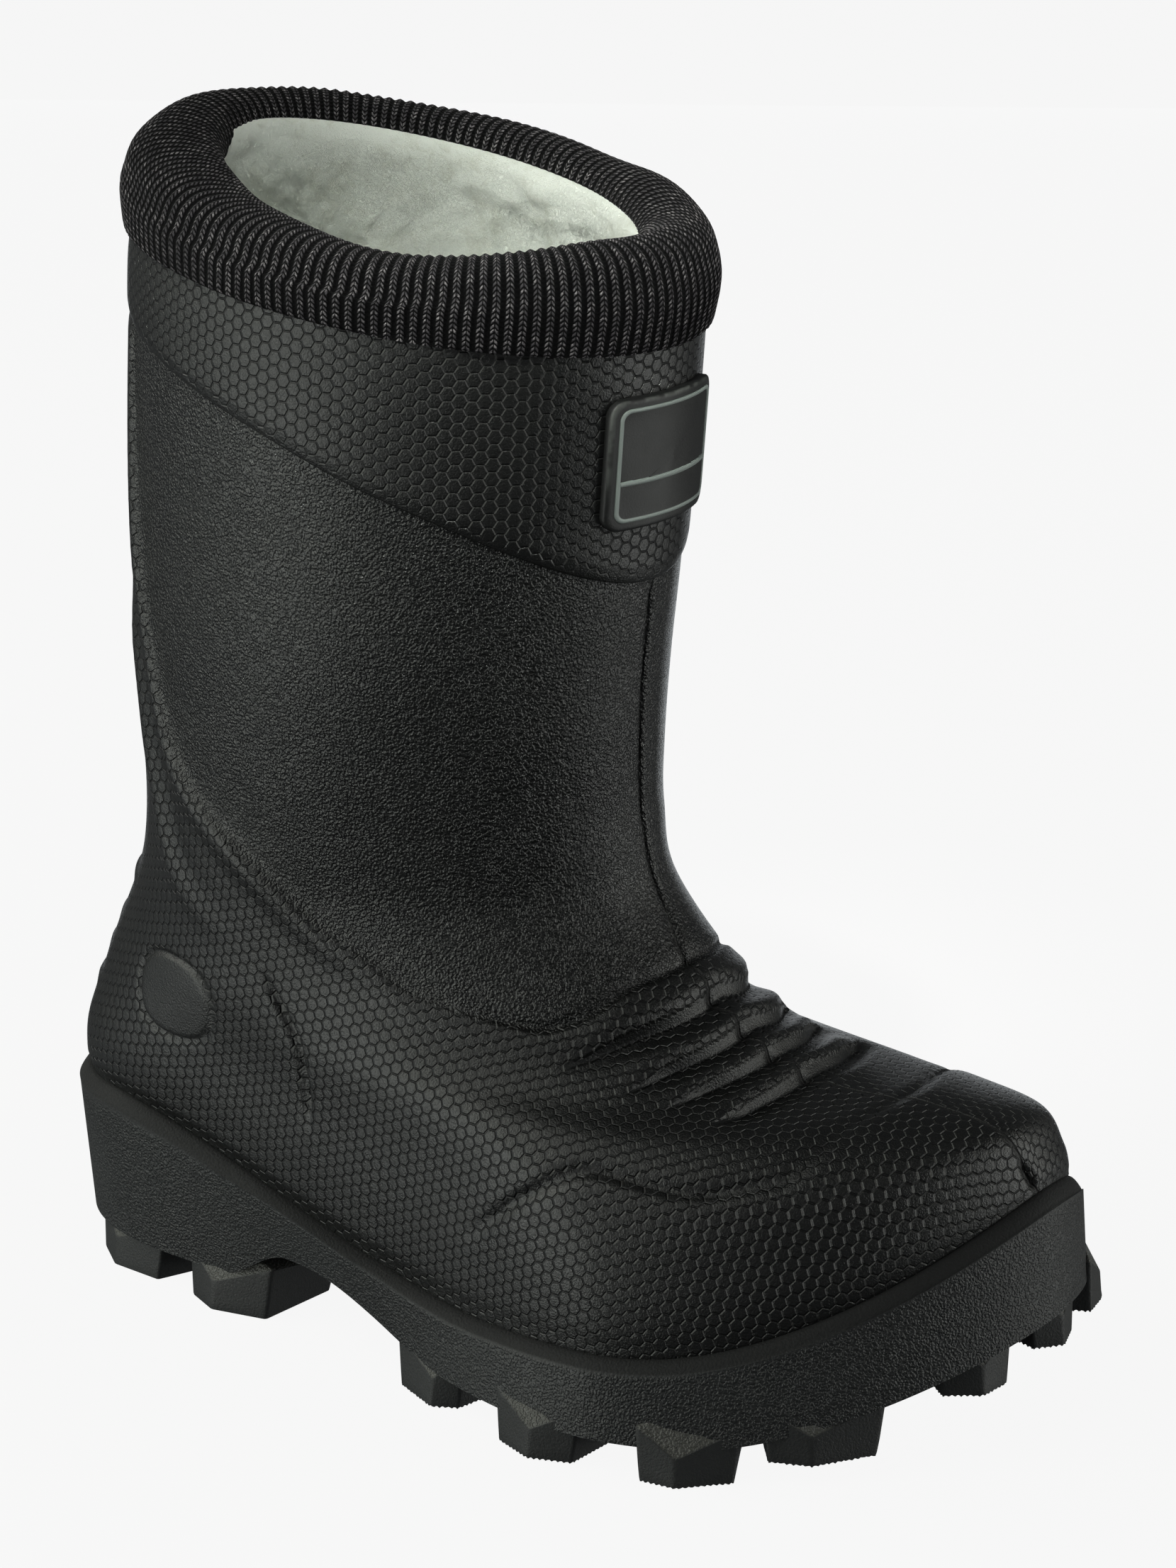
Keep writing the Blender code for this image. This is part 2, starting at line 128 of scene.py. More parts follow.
# Form of the upper, the same loops as the solid: each row is one loop, from the sole up to the collar.
upperColumns = ("backX backZ frontX frontZ dip toeIn heelOut waistOut ballOut heelIn waistIn ballIn "
                "backLen frontLen backPow outPow inPow").split()
upperRows = np.array([
    (-2.2, 37.5, 200.5, 48.0, 23.6, 15.0, 32.0, 37.3, 47.3, 31.5, 31.3, 39.0, 0.20, 0.29, 2.4, 1.65, 2.30),
    (-1.2, 47.0, 199.0, 53.0, 17.0, 14.4, 33.4, 38.0, 46.6, 33.0, 32.0, 38.8, 0.21, 0.30, 2.4, 1.68, 2.35),
    (1.5, 57.0, 195.0, 59.3, 10.5, 12.6, 33.9, 38.0, 44.2, 34.0, 32.5, 38.0, 0.23, 0.34, 2.2, 1.75, 2.35),
    (3.6, 64.0, 181.5, 61.4, 5.0, 10.0, 34.7, 37.8, 41.3, 34.5, 33.0, 36.6, 0.27, 0.41, 2.1, 1.85, 2.10),
    (6.3, 71.0, 161.5, 62.4, 2.0, 7.0, 35.8, 37.0, 38.2, 35.0, 33.7, 36.0, 0.32, 0.50, 2.0, 2.00, 2.00),
    (10.0, 79.0, 142.3, 71.3, 0.0, 4.4, 36.8, 36.5, 36.6, 35.5, 34.7, 36.4, 0.38, 0.57, 2.0, 2.00, 2.00),
    (13.4, 88.0, 124.4, 89.5, 0.0, 2.6, 38.2, 37.3, 36.9, 36.2, 36.0, 36.6, 0.44, 0.56, 2.0, 2.00, 2.00),
    (14.5, 99.0, 120.8, 104.0, 0.0, 1.5, 39.6, 38.7, 38.0, 37.2, 37.0, 37.1, 0.48, 0.52, 2.0, 2.00, 2.00),
    (14.0, 116.0, 120.8, 117.0, 0.0, 0.7, 41.0, 40.5, 39.7, 38.2, 38.0, 38.0, 0.50, 0.50, 2.0, 2.00, 2.00),
    (13.4, 150.0, 122.0, 133.0, 0.0, 0.0, 42.4, 42.4, 42.4, 39.8, 39.8, 39.8, 0.50, 0.50, 2.0, 2.00, 2.00),
    (14.8, 198.0, 124.0, 152.0, -5.0, 0.0, 43.6, 43.6, 43.6, 41.4, 41.4, 41.4, 0.50, 0.50, 2.0, 2.00, 2.00),
    (15.4, 209.0, 127.2, 196.0, -1.5, 0.0, 42.8, 42.8, 42.8, 42.0, 42.0, 42.0, 0.50, 0.50, 2.0, 2.00, 2.00),
    (16.9, 222.5, 126.8, 208.0, 0.0, 0.0, 41.0, 41.0, 41.0, 41.0, 41.0, 41.0, 0.50, 0.50, 2.0, 2.00, 2.00),
])
bandRow, collarRow = 10.0, 12.0  # rows of the band's lower edge and of the collar's edge
upperForm = {
    "heelAt": 0.15, "waistAt": 0.45, "ballAt": 0.72,  # stations, as shares of the length
    "dipRear": (0.56, 0.36), "dipFore": (0.66, 0.34),  # the dip is full between these places; fading lengths
    "sweep": 4,  # power of the toe's swing to the inner side
}


def halfWidth(a, heel, waist, ball):  # two cubics through the heel, waist and ball, with one slope at the waist
    heelAt, waistAt, ballAt = (upperForm[k] for k in ("heelAt", "waistAt", "ballAt"))
    slope = (ball - heel) / (ballAt - heelAt)
    q = np.clip((a - heelAt) / (waistAt - heelAt), 0.0, 1.0)
    rear = heel + (waist - heel) * ease(q) + (waistAt - heelAt) * slope * (q**3 - q**2)
    q = np.clip((a - waistAt) / (ballAt - waistAt), 0.0, 1.0)
    fore = waist + (ball - waist) * ease(q) + (ballAt - waistAt) * slope * (q**3 - 2 * q**2 + q)
    return np.where(a < waistAt, rear, fore)


def upperPoint(t, v):  # wall at place t of row v: the half width, rounded off by power curves at both ends
    t, v = np.broadcast_arrays(np.asarray(t, float) % 2.0, np.asarray(v, float))
    row = dict(zip(upperColumns, np.moveaxis(curveThrough(upperRows, np.clip(v, 0.0, collarRow)), -1, 0)))
    outer = t <= 1.0
    s = sideShare(t)
    a = lengthShare(s)
    wide = np.where(outer, -halfWidth(a, row["heelOut"], row["waistOut"], row["ballOut"]),
                    halfWidth(a, row["heelIn"], row["waistIn"], row["ballIn"]))
    back = np.clip(1.0 - a / row["backLen"], 0.0, 1.0)
    front = np.clip(1.0 - (1.0 - a) / row["frontLen"], 0.0, 1.0)
    power = np.where(outer, row["outPow"], row["inPow"])
    wide = wide * np.clip(1.0 - back ** row["backPow"], 0.0, 1.0) ** (1.0 / row["backPow"])
    wide = wide * np.clip(1.0 - front**power, 0.0, 1.0) ** (1.0 / power)
    (rear, rearLong), (fore, foreLong) = upperForm["dipRear"], upperForm["dipFore"]
    hollow = 1.0 - ease((rear - s) / rearLong) - ease((s - fore) / foreLong)
    x = row["backX"] + (row["frontX"] - row["backX"]) * a
    z = row["backZ"] + (row["frontZ"] - row["backZ"]) * a - row["dip"] * hollow
    return np.stack([x, wide + row["toeIn"] * a ** upperForm["sweep"], z], -1)


def wallNormal(t, v):  # outward normal, from small steps along and up the wall
    step = 0.012
    along = upperPoint(t + step, v) - upperPoint(t - step, v)
    rise = upperPoint(t, np.minimum(v + step, collarRow)) - upperPoint(t, np.maximum(v - step, 0.0))
    return unit(np.cross(along, rise))


def wallPoint(t, v, out):  # wall moved along its normal by so many millimetres
    return upperPoint(t, v) + wallNormal(t, v) * np.asarray(out)[..., None]


def spread(loop, amount):  # moves a closed loop outward in plan; rows of loops work too
    along = np.roll(loop, -1, -2) - np.roll(loop, 1, -2)
    normal = unit(np.stack([along[..., 1], -along[..., 0]], -1))
    out = loop.copy()
    out[..., :2] += normal * np.broadcast_to(amount, loop.shape[:-1])[..., None]
    return out


def closeIn(edge, spine, q):  # loop drawn in from an edge towards a middle line by the share q
    loop = edge.copy()
    loop[:, :2] += (spine - edge[:, :2]) * q
    return loop


# Underfoot, in millimetres and radians; each pair is where a slope starts and how long it is, as shares of the length.
underfoot = {
    "springTurn": 0.21, "springFrom": 148.0, "springLong": 56.0, "springRise": 18.0, "springPower": 1.6,
    "bed": 12.0, "bedHeel": 12.0, "bedHeelAt": (0.62, 0.45), "bedToe": 16.5, "bedToeAt": (0.72, 0.30),
    "under": 6.5, "heel": 1.0, "heelAt": (0.5, 0.2), "arch": 9.0, "archRear": (0.24, 0.09), "archFore": (0.56, 0.22),
    "swing": 15.0,  # how far the middle line swings inward at the toe
}


def slopeAt(key, a, way):  # smooth step along the length, rising forward (1) or backward (-1)
    place, long = underfoot[key]
    return ease(way * (a - place) / long)


def toeSpring(x, y):  # rise of the underside towards the toe: a power of the way past a slanting line
    turn = underfoot["springTurn"]
    q = (x * math.cos(turn) + y * math.sin(turn) - underfoot["springFrom"]) / underfoot["springLong"]
    return underfoot["springRise"] * np.clip(q, 0.0, 1.2) ** underfoot["springPower"]


def bedHeight(a):  # footbed: high at the heel, low at the ball, up again at the toe
    heel, toe = slopeAt("bedHeelAt", a, -1), slopeAt("bedToeAt", a, 1)
    return underfoot["bed"] + underfoot["bedHeel"] * heel + underfoot["bedToe"] * toe


def underside(a, x, y):  # underside between the lugs: heel, arch and ball, with the toe spring on top
    bow = slopeAt("archRear", a, 1) * slopeAt("archFore", a, -1)
    heel = underfoot["heel"] * slopeAt("heelAt", a, -1) * (1 - bow)
    return underfoot["under"] + heel + underfoot["arch"] * bow + toeSpring(x, y)


def middleLine(a, start, long):  # line under the middle of the foot, swung inward by the fourth power of the length
    return np.stack([start + long * a, underfoot["swing"] * a**4], -1)


def gridPiece(name, points, ring=False, uv=None, attributes=None, flip=False):
    # points is rows x columns x 3, or a stack of such grids; quads join neighbours,
    # and a ring joins its last column to its first
    points = np.asarray(points, float)
    stack = points.reshape((-1,) + points.shape[-3:])
    count, rows, columns = stack.shape[:3]
    ids = np.arange(count * rows * columns).reshape(count, rows, columns)
    right = np.roll(ids, -1, 2) if ring else ids[:, :, 1:]
    left = ids if ring else ids[:, :, :-1]
    quads = np.stack([left[:, :-1], right[:, :-1], right[:, 1:], left[:, 1:]], -1).reshape(-1, 4)
    corners = None
    if uv is not None:  # uv has one more column than a ring so that the seam isn't folded back
        flat = uv.reshape(count, rows, -1, 2)
        lo, hi = flat[:, :, :-1], flat[:, :, 1:]
        corners = np.stack([lo[:, :-1], hi[:, :-1], hi[:, 1:], lo[:, 1:]], -2).reshape(-1, 4, 2)
    if flip:
        quads = quads[:, ::-1]
        corners = None if corners is None else corners[:, ::-1]
    mesh = bpy.data.meshes.new(name)
    mesh.vertices.add(ids.size)
    mesh.vertices.foreach_set("co", toFrame(stack).astype(np.float32).ravel())
    mesh.loops.add(quads.size)
    mesh.loops.foreach_set("vertex_index", quads.astype(np.int32).ravel())
    mesh.polygons.add(len(quads))
    mesh.polygons.foreach_set("loop_start", np.arange(0, quads.size, 4, dtype=np.int32))
    mesh.polygons.foreach_set("use_smooth", np.ones(len(quads), bool))
    if corners is not None:
        mesh.uv_layers.new(name="pattern")
        mesh.uv_layers["pattern"].data.foreach_set("uv", corners.astype(np.float32).ravel())
    for key, value in (attributes or {}).items():
        layer = mesh.attributes.new(key, "FLOAT", "POINT")
        layer.data.foreach_set("value", np.broadcast_to(value, stack.shape[:3]).astype(np.float32).ravel())
    mesh.update(calc_edges=True)
    mesh.validate()
    thing = bpy.data.objects.new(name, mesh)
    bpy.context.scene.collection.objects.link(thing)
    return thing


def sharpen(thing, degrees):  # keeps moulded edges crisp
    thing.data.set_sharp_from_angle(angle=math.radians(degrees))


def dress(thing, material, slot, *nodes):  # finish, slot (not used) and the solids that the piece stands for
    thing.data.materials.append(material)
    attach(thing, "root")
    if nodes:
        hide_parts(*nodes)


def surfaceNormals(points, ring=True):  # normals of a grid by differences between neighbours
    if ring:
        along = np.roll(points, -1, 1) - np.roll(points, 1, 1)
    else:
        along = np.gradient(points, axis=1)
    return unit(np.cross(along, np.gradient(points, axis=0)))


def softNoise(points, size, seed, waves=28):  # sum of random plane waves, about -1 to 1, lumps of the given size
    draw = np.random.default_rng(seed)
    heading = unit(draw.normal(size=(waves, 3))) * (2 * np.pi / size) * draw.uniform(0.6, 1.4, (waves, 1))
    phase = draw.uniform(0, 2 * np.pi, waves)
    total = np.zeros(points.shape[:-1])
    for k in range(waves):
        total += np.sin(points @ heading[k] + phase[k])
    return total / math.sqrt(waves) * 1.1


class Wire:  # one output of a shader node; sums on it add Math nodes
    def __init__(self, tree, socket=None):
        self.tree = tree
        self.socket = socket

    def node(self, kind, settings=None, values=None, out=0):  # settings first, then values or links
        made = self.tree.nodes.new(kind)
        for key, value in (settings or {}).items():
            setattr(made, key, value)
        for key, value in (values or {}).items():
            if isinstance(value, Wire):
                self.tree.links.new(value.socket, made.inputs[key])
            else:
                made.inputs[key].default_value = value
        return Wire(self.tree, made.outputs[out])

    def math(self, operation, *others):
        return self.node("ShaderNodeMath", {"operation": operation}, dict(enumerate((self,) + others)))

    def __add__(self, other):
        return self.math("ADD", other)

    __radd__ = __add__

    def __sub__(self, other):
        return self.math("SUBTRACT", other)

    def __rsub__(self, other):
        return (self * -1.0).math("ADD", other)

    def __mul__(self, other):
        return self.math("MULTIPLY", other)

    __rmul__ = __mul__

    def __abs__(self):
        return self.math("ABSOLUTE")

    def wrap(self, size):  # what is left after whole steps of this size
        return self.math("FLOORED_MODULO", size)

    def step(self, low, high):  # smooth step between two values
        return self.node("ShaderNodeMapRange", {"interpolation_type": "SMOOTHSTEP"},
                         {"Value": self, "From Min": low, "From Max": high})

    def part(self, axis):  # one of x, y and z
        return self.node("ShaderNodeSeparateXYZ", None, {0: self}, axis)

    def noise(self, scale, detail, rough, distort=0.0):
        return self.node("ShaderNodeTexNoise", None, {
            "Vector": self, "Scale": scale, "Detail": detail, "Roughness": rough, "Distortion": distort})

    def blend(self, low, high):  # self picks between two colours
        return self.node("ShaderNodeMix", {"data_type": "RGBA"}, {0: self, 6: low, 7: high}, 2)


def grey(r, g=None, b=None):  # colour with full cover; one number alone gives a plain grey
    return (r, r if g is None else g, r if b is None else b, 1.0)


def newFinish(name, fixed):  # material with a Principled shader; fixed values go on its own sockets
    material = bpy.data.materials.new(name)
    material.use_nodes = True
    tree = material.node_tree
    shader = tree.nodes["Principled BSDF"]
    for key, value in fixed.items():
        shader.inputs[key].default_value = value
    start = Wire(tree)

    def close(color, roughness, height=None):  # links what varies; the height is in millimetres
        tree.links.new(color.socket, shader.inputs["Base Color"])
        tree.links.new(roughness.socket, shader.inputs["Roughness"])
        if height is not None:
            made = start.node("ShaderNodeBump", None, {"Height": height, "Distance": 0.001, "Strength": 1.0})
            tree.links.new(made.socket, shader.inputs["Normal"])
        return material

    return start, start.node("ShaderNodeTexCoord", out=3), close  # the second is the place in the object, in metres


def ownUv(start):  # the piece's own UV map
    return start.node("ShaderNodeUVMap", {"uv_map": "pattern"})


def ownValue(start, name):  # an attribute of the piece, 0 where it has none
    return start.node("ShaderNodeAttribute", {"attribute_name": name}, None, 2)


def hexEdge(uv, pitch):  # 0 in the middle of a flat-topped hexagon, 0.5 on its edge
    x = uv.part(0) * (1.0 / pitch)
    y = uv.part(1) * (1.0 / pitch)
    root = math.sqrt(3.0)
    ax = x.wrap(root) - root / 2
    ay = y.wrap(1.0) - 0.5
    bx = (x + root / 2).wrap(root) - root / 2
    by = (y + 0.5).wrap(1.0) - 0.5
    nearA = (ax * ax + ay * ay).math("LESS_THAN", bx * bx + by * by)
    gx = abs(bx + (ax - bx) * nearA)
    gy = abs(by + (ay - by) * nearA)
    return gy.math("MAXIMUM", gx * (root / 2) + gy * 0.5)


def pebbleGrain(place, scale):  # rounded swellings: a slightly bent noise, cut by a smooth step
    return place.noise(scale, 0.0, 0.5, 0.4).step(0.30, 0.70)


rubberLook = {  # hexagons in millimetres and degrees, depths in millimetres
    "hexPitch": 2.45, "hexTurn": 9.0, "hexDeep": 0.37, "hexGroove": 0.052, "dome": 0.04,
    "grainScale": 2000.0, "grainDeep": 0.19, "speckScale": 2600.0, "speckle": 0.17, "cloudScale": 38.0,
    "seamDeep": 0.45, "colour": (0.0028, 0.0030, 0.0028), "dust": (0.0085, 0.0090, 0.0080),
    # groove and seam: painted shade, darker colours for the hexagon grooves and the parting line
    "groove": 0.006, "seam": 0.0012, "rough": 0.34,
    "shine": {"Specular IOR Level": 0.50, "Coat Roughness": 0.35, "Coat Weight": 0.05},
}


def upperRubber():  # hexagon pads or grain, as the attributes weigh them, under fine specks; the parting line is cut in; the hexagon grooves and the parting line are painted darker as shade
    look = rubberLook
    start, place, close = newFinish("upperRubber", look["shine"])
    speck = place.noise(look["speckScale"], 2.0, 0.6)
    cloud = place.noise(look["cloudScale"], 3.0, 0.55)
    grain = pebbleGrain(place, look["grainScale"])
    grainWeight = ownValue(start, "grainWeight")
    hexWeight = ownValue(start, "hexWeight")
    edge = hexEdge(ownUv(start), look["hexPitch"])
    pad = 1.0 - edge.step(0.5 - 2 * look["hexGroove"], 0.497)
    crown = 1.0 - edge * edge * 4.0
    hexes = (pad * look["hexDeep"] + crown * look["dome"]) * hexWeight
    seam = 1.0 - abs(ownValue(start, "seamLine")).step(0.1, 0.6)
    height = hexes + grain * grainWeight * look["grainDeep"] + speck * look["speckle"] - seam * look["seamDeep"]
    dusty = (cloud.step(0.35, 0.7) * 0.35 + speck.step(0.55, 0.8) * 0.45) * 0.8
    color = dusty.blend(grey(*look["colour"]), grey(*look["dust"]))
    # painted shade: the grooves between the hexagon pads are painted darker
    color = ((1.0 - pad) * hexWeight * 0.55).blend(color, grey(look["groove"]))
    rough = speck * 0.22 + cloud * 0.14 + (look["rough"] - 0.16)
    # painted shade: the parting line's groove is painted darker
    color = (seam * 0.85).blend(color, grey(look["seam"]))
    return close(color, rough + seam * 0.3 - grainWeight * 0.09, height)


soleLook = {
    "grainScale": 2200.0, "grainDeep": 0.18, "speckScale": 2400.0, "speckle": 0.09, "cloudScale": 45.0,
    # ledge: painted shade, the ledge's darker colour; facet: partly dust, partly painted light on the lugs' facets
    "colour": (0.0074, 0.0082, 0.0084), "dust": (0.0180, 0.0198, 0.0200), "ledge": 0.0016,
    "facetDustAndLight": (0.062, 0.062, 0.054), "rough": 0.50,
    "shine": {"Specular IOR Level": 0.50, "Coat Roughness": 0.4, "Coat Weight": 0.04},
}


def soleRubber():  # grain and specks over a cloudy dark colour; the ledge is painted darker as shade, and duller; the lugs' facets are painted lighter, partly dust and partly painted light
    look = soleLook
    start, place, close = newFinish("soleRubber", look["shine"])
    speck = place.noise(look["speckScale"], 2.0, 0.6)
    cloud = place.noise(look["cloudScale"], 3.0, 0.55)
    grain = pebbleGrain(place, look["grainScale"])
    weight, shade, facetDustAndLight = (ownValue(start, key) for key in ("grainWeight", "shade", "dust"))
    dusty = cloud.step(0.4, 0.75) * 0.45 + speck.step(0.6, 0.85) * 0.4
    color = dusty.blend(grey(*look["colour"]), grey(*look["dust"]))
    # painted shade: the ledge is painted darker where its shade attribute is 1
    color = (shade * 0.7).blend(color, grey(look["ledge"]))
    # partly dust, partly painted light: the lugs' facets, which face the light, are painted lighter
    color = (facetDustAndLight * (cloud * 0.4 + 0.6)).blend(color, grey(*look["facetDustAndLight"]))
    rough = speck * 0.2 + cloud * 0.16 + look["rough"] - weight * 0.2 + shade * 0.22
    return close(color, rough, grain * weight * look["grainDeep"] + speck * look["speckle"])


knitLook = {
    "ribs": 138, "stitch": 0.92, "slant": 2.6,  # ribs round the cuff, a stitch in millimetres, steepness of a strand
    # painted light and shade: the gaps between and inside the ribs are painted dark as shade, the strands' crowns
    # painted light as highlight; flecks are the yarn's own marl
    "paintedGapShade": (0.0010, 0.0010, 0.0012), "yarnWithHighlight": (0.075, 0.070, 0.077), "fleck": (0.40, 0.375, 0.385),
    "shine": {"Specular IOR Level": 0.05, "Sheen Weight": 0.02, "Sheen Roughness": 0.6},
}


def ribKnit():  # uv is rib number and millimetres along the rib; two slanting strands make each V stitch
    start, place, close = newFinish("ribKnit", knitLook["shine"])
    uv = ownUv(start)
    across = uv.part(0).wrap(1.0) - 0.5
    away = abs(across)
    climb = uv.part(1) * (1.0 / knitLook["stitch"]) + away * knitLook["slant"]
    strand = (climb.wrap(1.0) * math.pi).math("SINE")
    rib = 1.0 - away.step(0.20, 0.34)
    spine = away.step(0.0, 0.07)
    purl = ((uv.part(1) * (2 * math.pi / knitLook["stitch"])).math("SINE") * 0.5 + 0.5) * (1.0 - rib)
    fibre = place.noise(3200.0, 3.0, 0.65)
    marl = place.noise(900.0, 2.0, 0.6)
    # painted highlight on the crown of each strand, fading to painted shade in the rib's middle and in the gaps between
    # ribs
    strandHighlight = strand.step(0.38, 0.92) * rib * spine
    tone = strandHighlight * 0.62 + purl * 0.10 + fibre * 0.25 * rib
    color = tone.step(0.05, 0.95).blend(grey(*knitLook["paintedGapShade"]), grey(*knitLook["yarnWithHighlight"]))
    # the yarn's own lighter flecks, set only on the painted strand highlights
    fleck = strandHighlight * marl.step(0.46, 0.66) * fibre.step(0.35, 0.62) * 0.75
    color = fleck.blend(color, grey(*knitLook["fleck"]))
    height = strand * rib * spine * 0.34 + purl * 0.14 + fibre * 0.30
    return close(color, fibre * 0.1 + 0.85, height)


pileLook = {
    "light": (0.80, 0.83, 0.77), "shade": (0.66, 0.68, 0.60), "deep": (0.58, 0.60, 0.53),
    "lumpScale": 95.0, "tuftScale": 420.0, "hairScale": 1500.0,
    "shine": {"Specular IOR Level": 0.15, "Sheen Weight": 0.35, "Sheen Roughness": 0.5},
}


def pileFleece():  # lumps, tufts and curls: three noises, each finer than the last, add up to the tone and the height
    start, place, close = newFinish("pileFleece", pileLook["shine"])
    lump = place.noise(pileLook["lumpScale"], 2.0, 0.5)
    tuft = place.noise(pileLook["tuftScale"], 3.0, 0.6, 0.6)
    hair = place.noise(pileLook["hairScale"], 3.0, 0.7, 1.4)
    curl = 1.0 - abs(hair - 0.5).step(0.0, 0.14)
    # painted light and shade: lighter on the raised lumps, tufts and curls, darker between them
    tone = lump.step(0.3, 0.7) * 0.45 + tuft.step(0.3, 0.7) * 0.4 + curl * 0.22
    color = tone.step(0.0, 0.75).blend(grey(*pileLook["shade"]), grey(*pileLook["light"]))
    # painted shade: darker in the hollows between tufts
    color = ((1.0 - tuft.step(0.22, 0.42)) * 0.5).blend(color, grey(*pileLook["deep"]))
    return close(color, tuft * 0.1 + 0.88, tuft * 0.6 + curl * 0.16 + hair * 0.25)


badgeLook = {
    "colour": (0.0045, 0.0048, 0.0048), "speck": (0.010, 0.0105, 0.0105), "line": (0.23, 0.265, 0.25),
    "paleRim": (0.16, 0.17, 0.16), "speckScale": 2500.0, "speckle": 0.05, "cloudScale": 160.0, "rough": 0.36,
    "shine": {"Specular IOR Level": 0.38, "Coat Weight": 0.04, "Coat Roughness": 0.3},
}


def badgeRubber():  # dark specks; the frame line and the paler edge are lighter where their attributes say so
    look = badgeLook
    start, place, close = newFinish("badgeRubber", look["shine"])
    speck = place.noise(look["speckScale"], 2.0, 0.6)
    cloud = place.noise(look["cloudScale"], 3.0, 0.6)
    line = ownValue(start, "frameLine")
    # lighter along the rim's top-left edge, broken up by a cloudy noise
    paleRim = ownValue(start, "paleRimShare") * cloud.step(0.42, 0.62)
    color = speck.step(0.45, 0.8).blend(grey(*look["colour"]), grey(*look["speck"]))
    color = (line * (cloud * 0.25 + 0.75)).blend(color, grey(*look["line"]))
    color = (paleRim * 0.6).blend(color, grey(*look["paleRim"]))
    return close(color, speck * 0.2 + cloud * 0.15 + look["rough"], speck * look["speckle"])


floorLook = {
    "colour": 0.030, "cloud": 0.034, "rough": 0.9,
    "shine": {"Specular IOR Level": 0.0, "Emission Strength": 0.915, "Emission Color": grey(1.0)},
}


def paleFloor():  # glows a little by itself, so that it stays evenly pale to the edge of the picture
    _, place, close = newFinish("paleFloor", floorLook["shine"])
    cloud = place.noise(3.0, 2.0, 0.5)
    color = cloud.blend(grey(floorLook["colour"]), grey(floorLook["cloud"]))
    return close(color, cloud * 0.05 + floorLook["rough"])


upperFinish = upperRubber()
soleFinish = soleRubber()
knitFinish = ribKnit()
pileFinish = pileFleece()
badgeFinish = badgeRubber()
print("finishes made")


def layFlat(points, rounds=60):
    # unrolls a grid into the plane with as little stretch as it can: each triangle keeps its size and only turns,
    # and the corners settle between their triangles, weighed by the cotangents of the angles across each edge
    rows, columns = points.shape[:2]
    ids = np.arange(rows * columns).reshape(rows, columns)
    a, b, c, d = ids[:-1, :-1].ravel(), ids[:-1, 1:].ravel(), ids[1:, 1:].ravel(), ids[1:, :-1].ravel()
    tris = np.concatenate([np.stack(three, 1) for three in ((a, b, c), (a, c, d), (a, b, d), (b, c, d))])
    corner = points.reshape(-1, 3)[tris]
    e1, e2 = corner[:, 1] - corner[:, 0], corner[:, 2] - corner[:, 0]
    length = np.maximum(np.linalg.norm(e1, axis=1), 1e-6)
    x2 = (e1 * e2).sum(1) / length
    y2 = np.maximum(np.linalg.norm(np.cross(e1, e2), axis=1) / length, 1e-6)
    zero = np.zeros_like(length)
    flat = np.stack([np.stack([zero, zero], 1), np.stack([length, zero], 1), np.stack([x2, y2], 1)], 1)
    edges = []
    matrix = np.zeros((ids.size, ids.size))
    for k in range(3):
        i, j = (k + 1) % 3, (k + 2) % 3
        u, w = flat[:, i] - flat[:, k], flat[:, j] - flat[:, k]
        area = np.abs(u[:, 0] * w[:, 1] - u[:, 1] * w[:, 0])
        weight = np.clip((u * w).sum(1) / np.maximum(area, 1e-9), 0.03, 8.0)
        edges.append((i, j, weight))
        np.add.at(matrix, (tris[:, i], tris[:, i]), weight)
        np.add.at(matrix, (tris[:, j], tris[:, j]), weight)
        np.add.at(matrix, (tris[:, i], tris[:, j]), -weight)
        np.add.at(matrix, (tris[:, j], tris[:, i]), -weight)
    matrix[0, 0] += 1.0
    inverse = np.linalg.inv(matrix)
    wide, sideView = np.abs(points[..., 1:2]), points[..., [0, 2]]
    outward = surfaceNormals(points, ring=False)[..., [0, 2]]
    outward = outward * np.sign((outward * (sideView - sideView.mean(1, keepdims=True))).sum(-1, keepdims=True))
    # starts from the side view, opened out where the surface turns away
    place = (sideView + outward * (wide.max(1, keepdims=True) - wide) * 0.8).reshape(-1, 2)
    for _ in range(rounds):
        q = place[tris]
        turn = np.zeros((len(tris), 2, 2))
        for i, j, weight in edges:
            turn += weight[:, None, None] * (q[:, i] - q[:, j])[:, :, None] * (flat[:, i] - flat[:, j])[:, None, :]
        angle = np.arctan2(turn[:, 1, 0] - turn[:, 0, 1], turn[:, 0, 0] + turn[:, 1, 1])
        cos, sin = np.cos(angle), np.sin(angle)
        goal = np.zeros((ids.size, 2))
        for i, j, weight in edges:
            x, y = (flat[:, i] - flat[:, j]).T
            pull = weight[:, None] * np.stack([cos * x - sin * y, sin * x + cos * y], 1)
            np.add.at(goal, tris[:, i], pull)
            np.add.at(goal, tris[:, j], -pull)
        place = inverse @ goal
    place = place.reshape(rows, columns, 2)
    # turned so that height runs straight up in the plane over the side of the foot
    foot = (slice(2, rows // 2), slice(columns // 4, 3 * columns // 4))
    spots = np.concatenate([place[foot].reshape(-1, 2), np.ones((place[foot][..., 0].size, 1))], 1)
    rise = np.linalg.lstsq(spots, points[foot][..., 2].ravel(), rcond=None)[0]
    angle = math.pi / 2 - math.atan2(rise[1], rise[0]) + math.radians(rubberLook["hexTurn"])
    spin = np.array([[math.cos(angle), -math.sin(angle)], [math.sin(angle), math.cos(angle)]])
    return (place - place[rows // 2, columns // 2]) @ spin.T


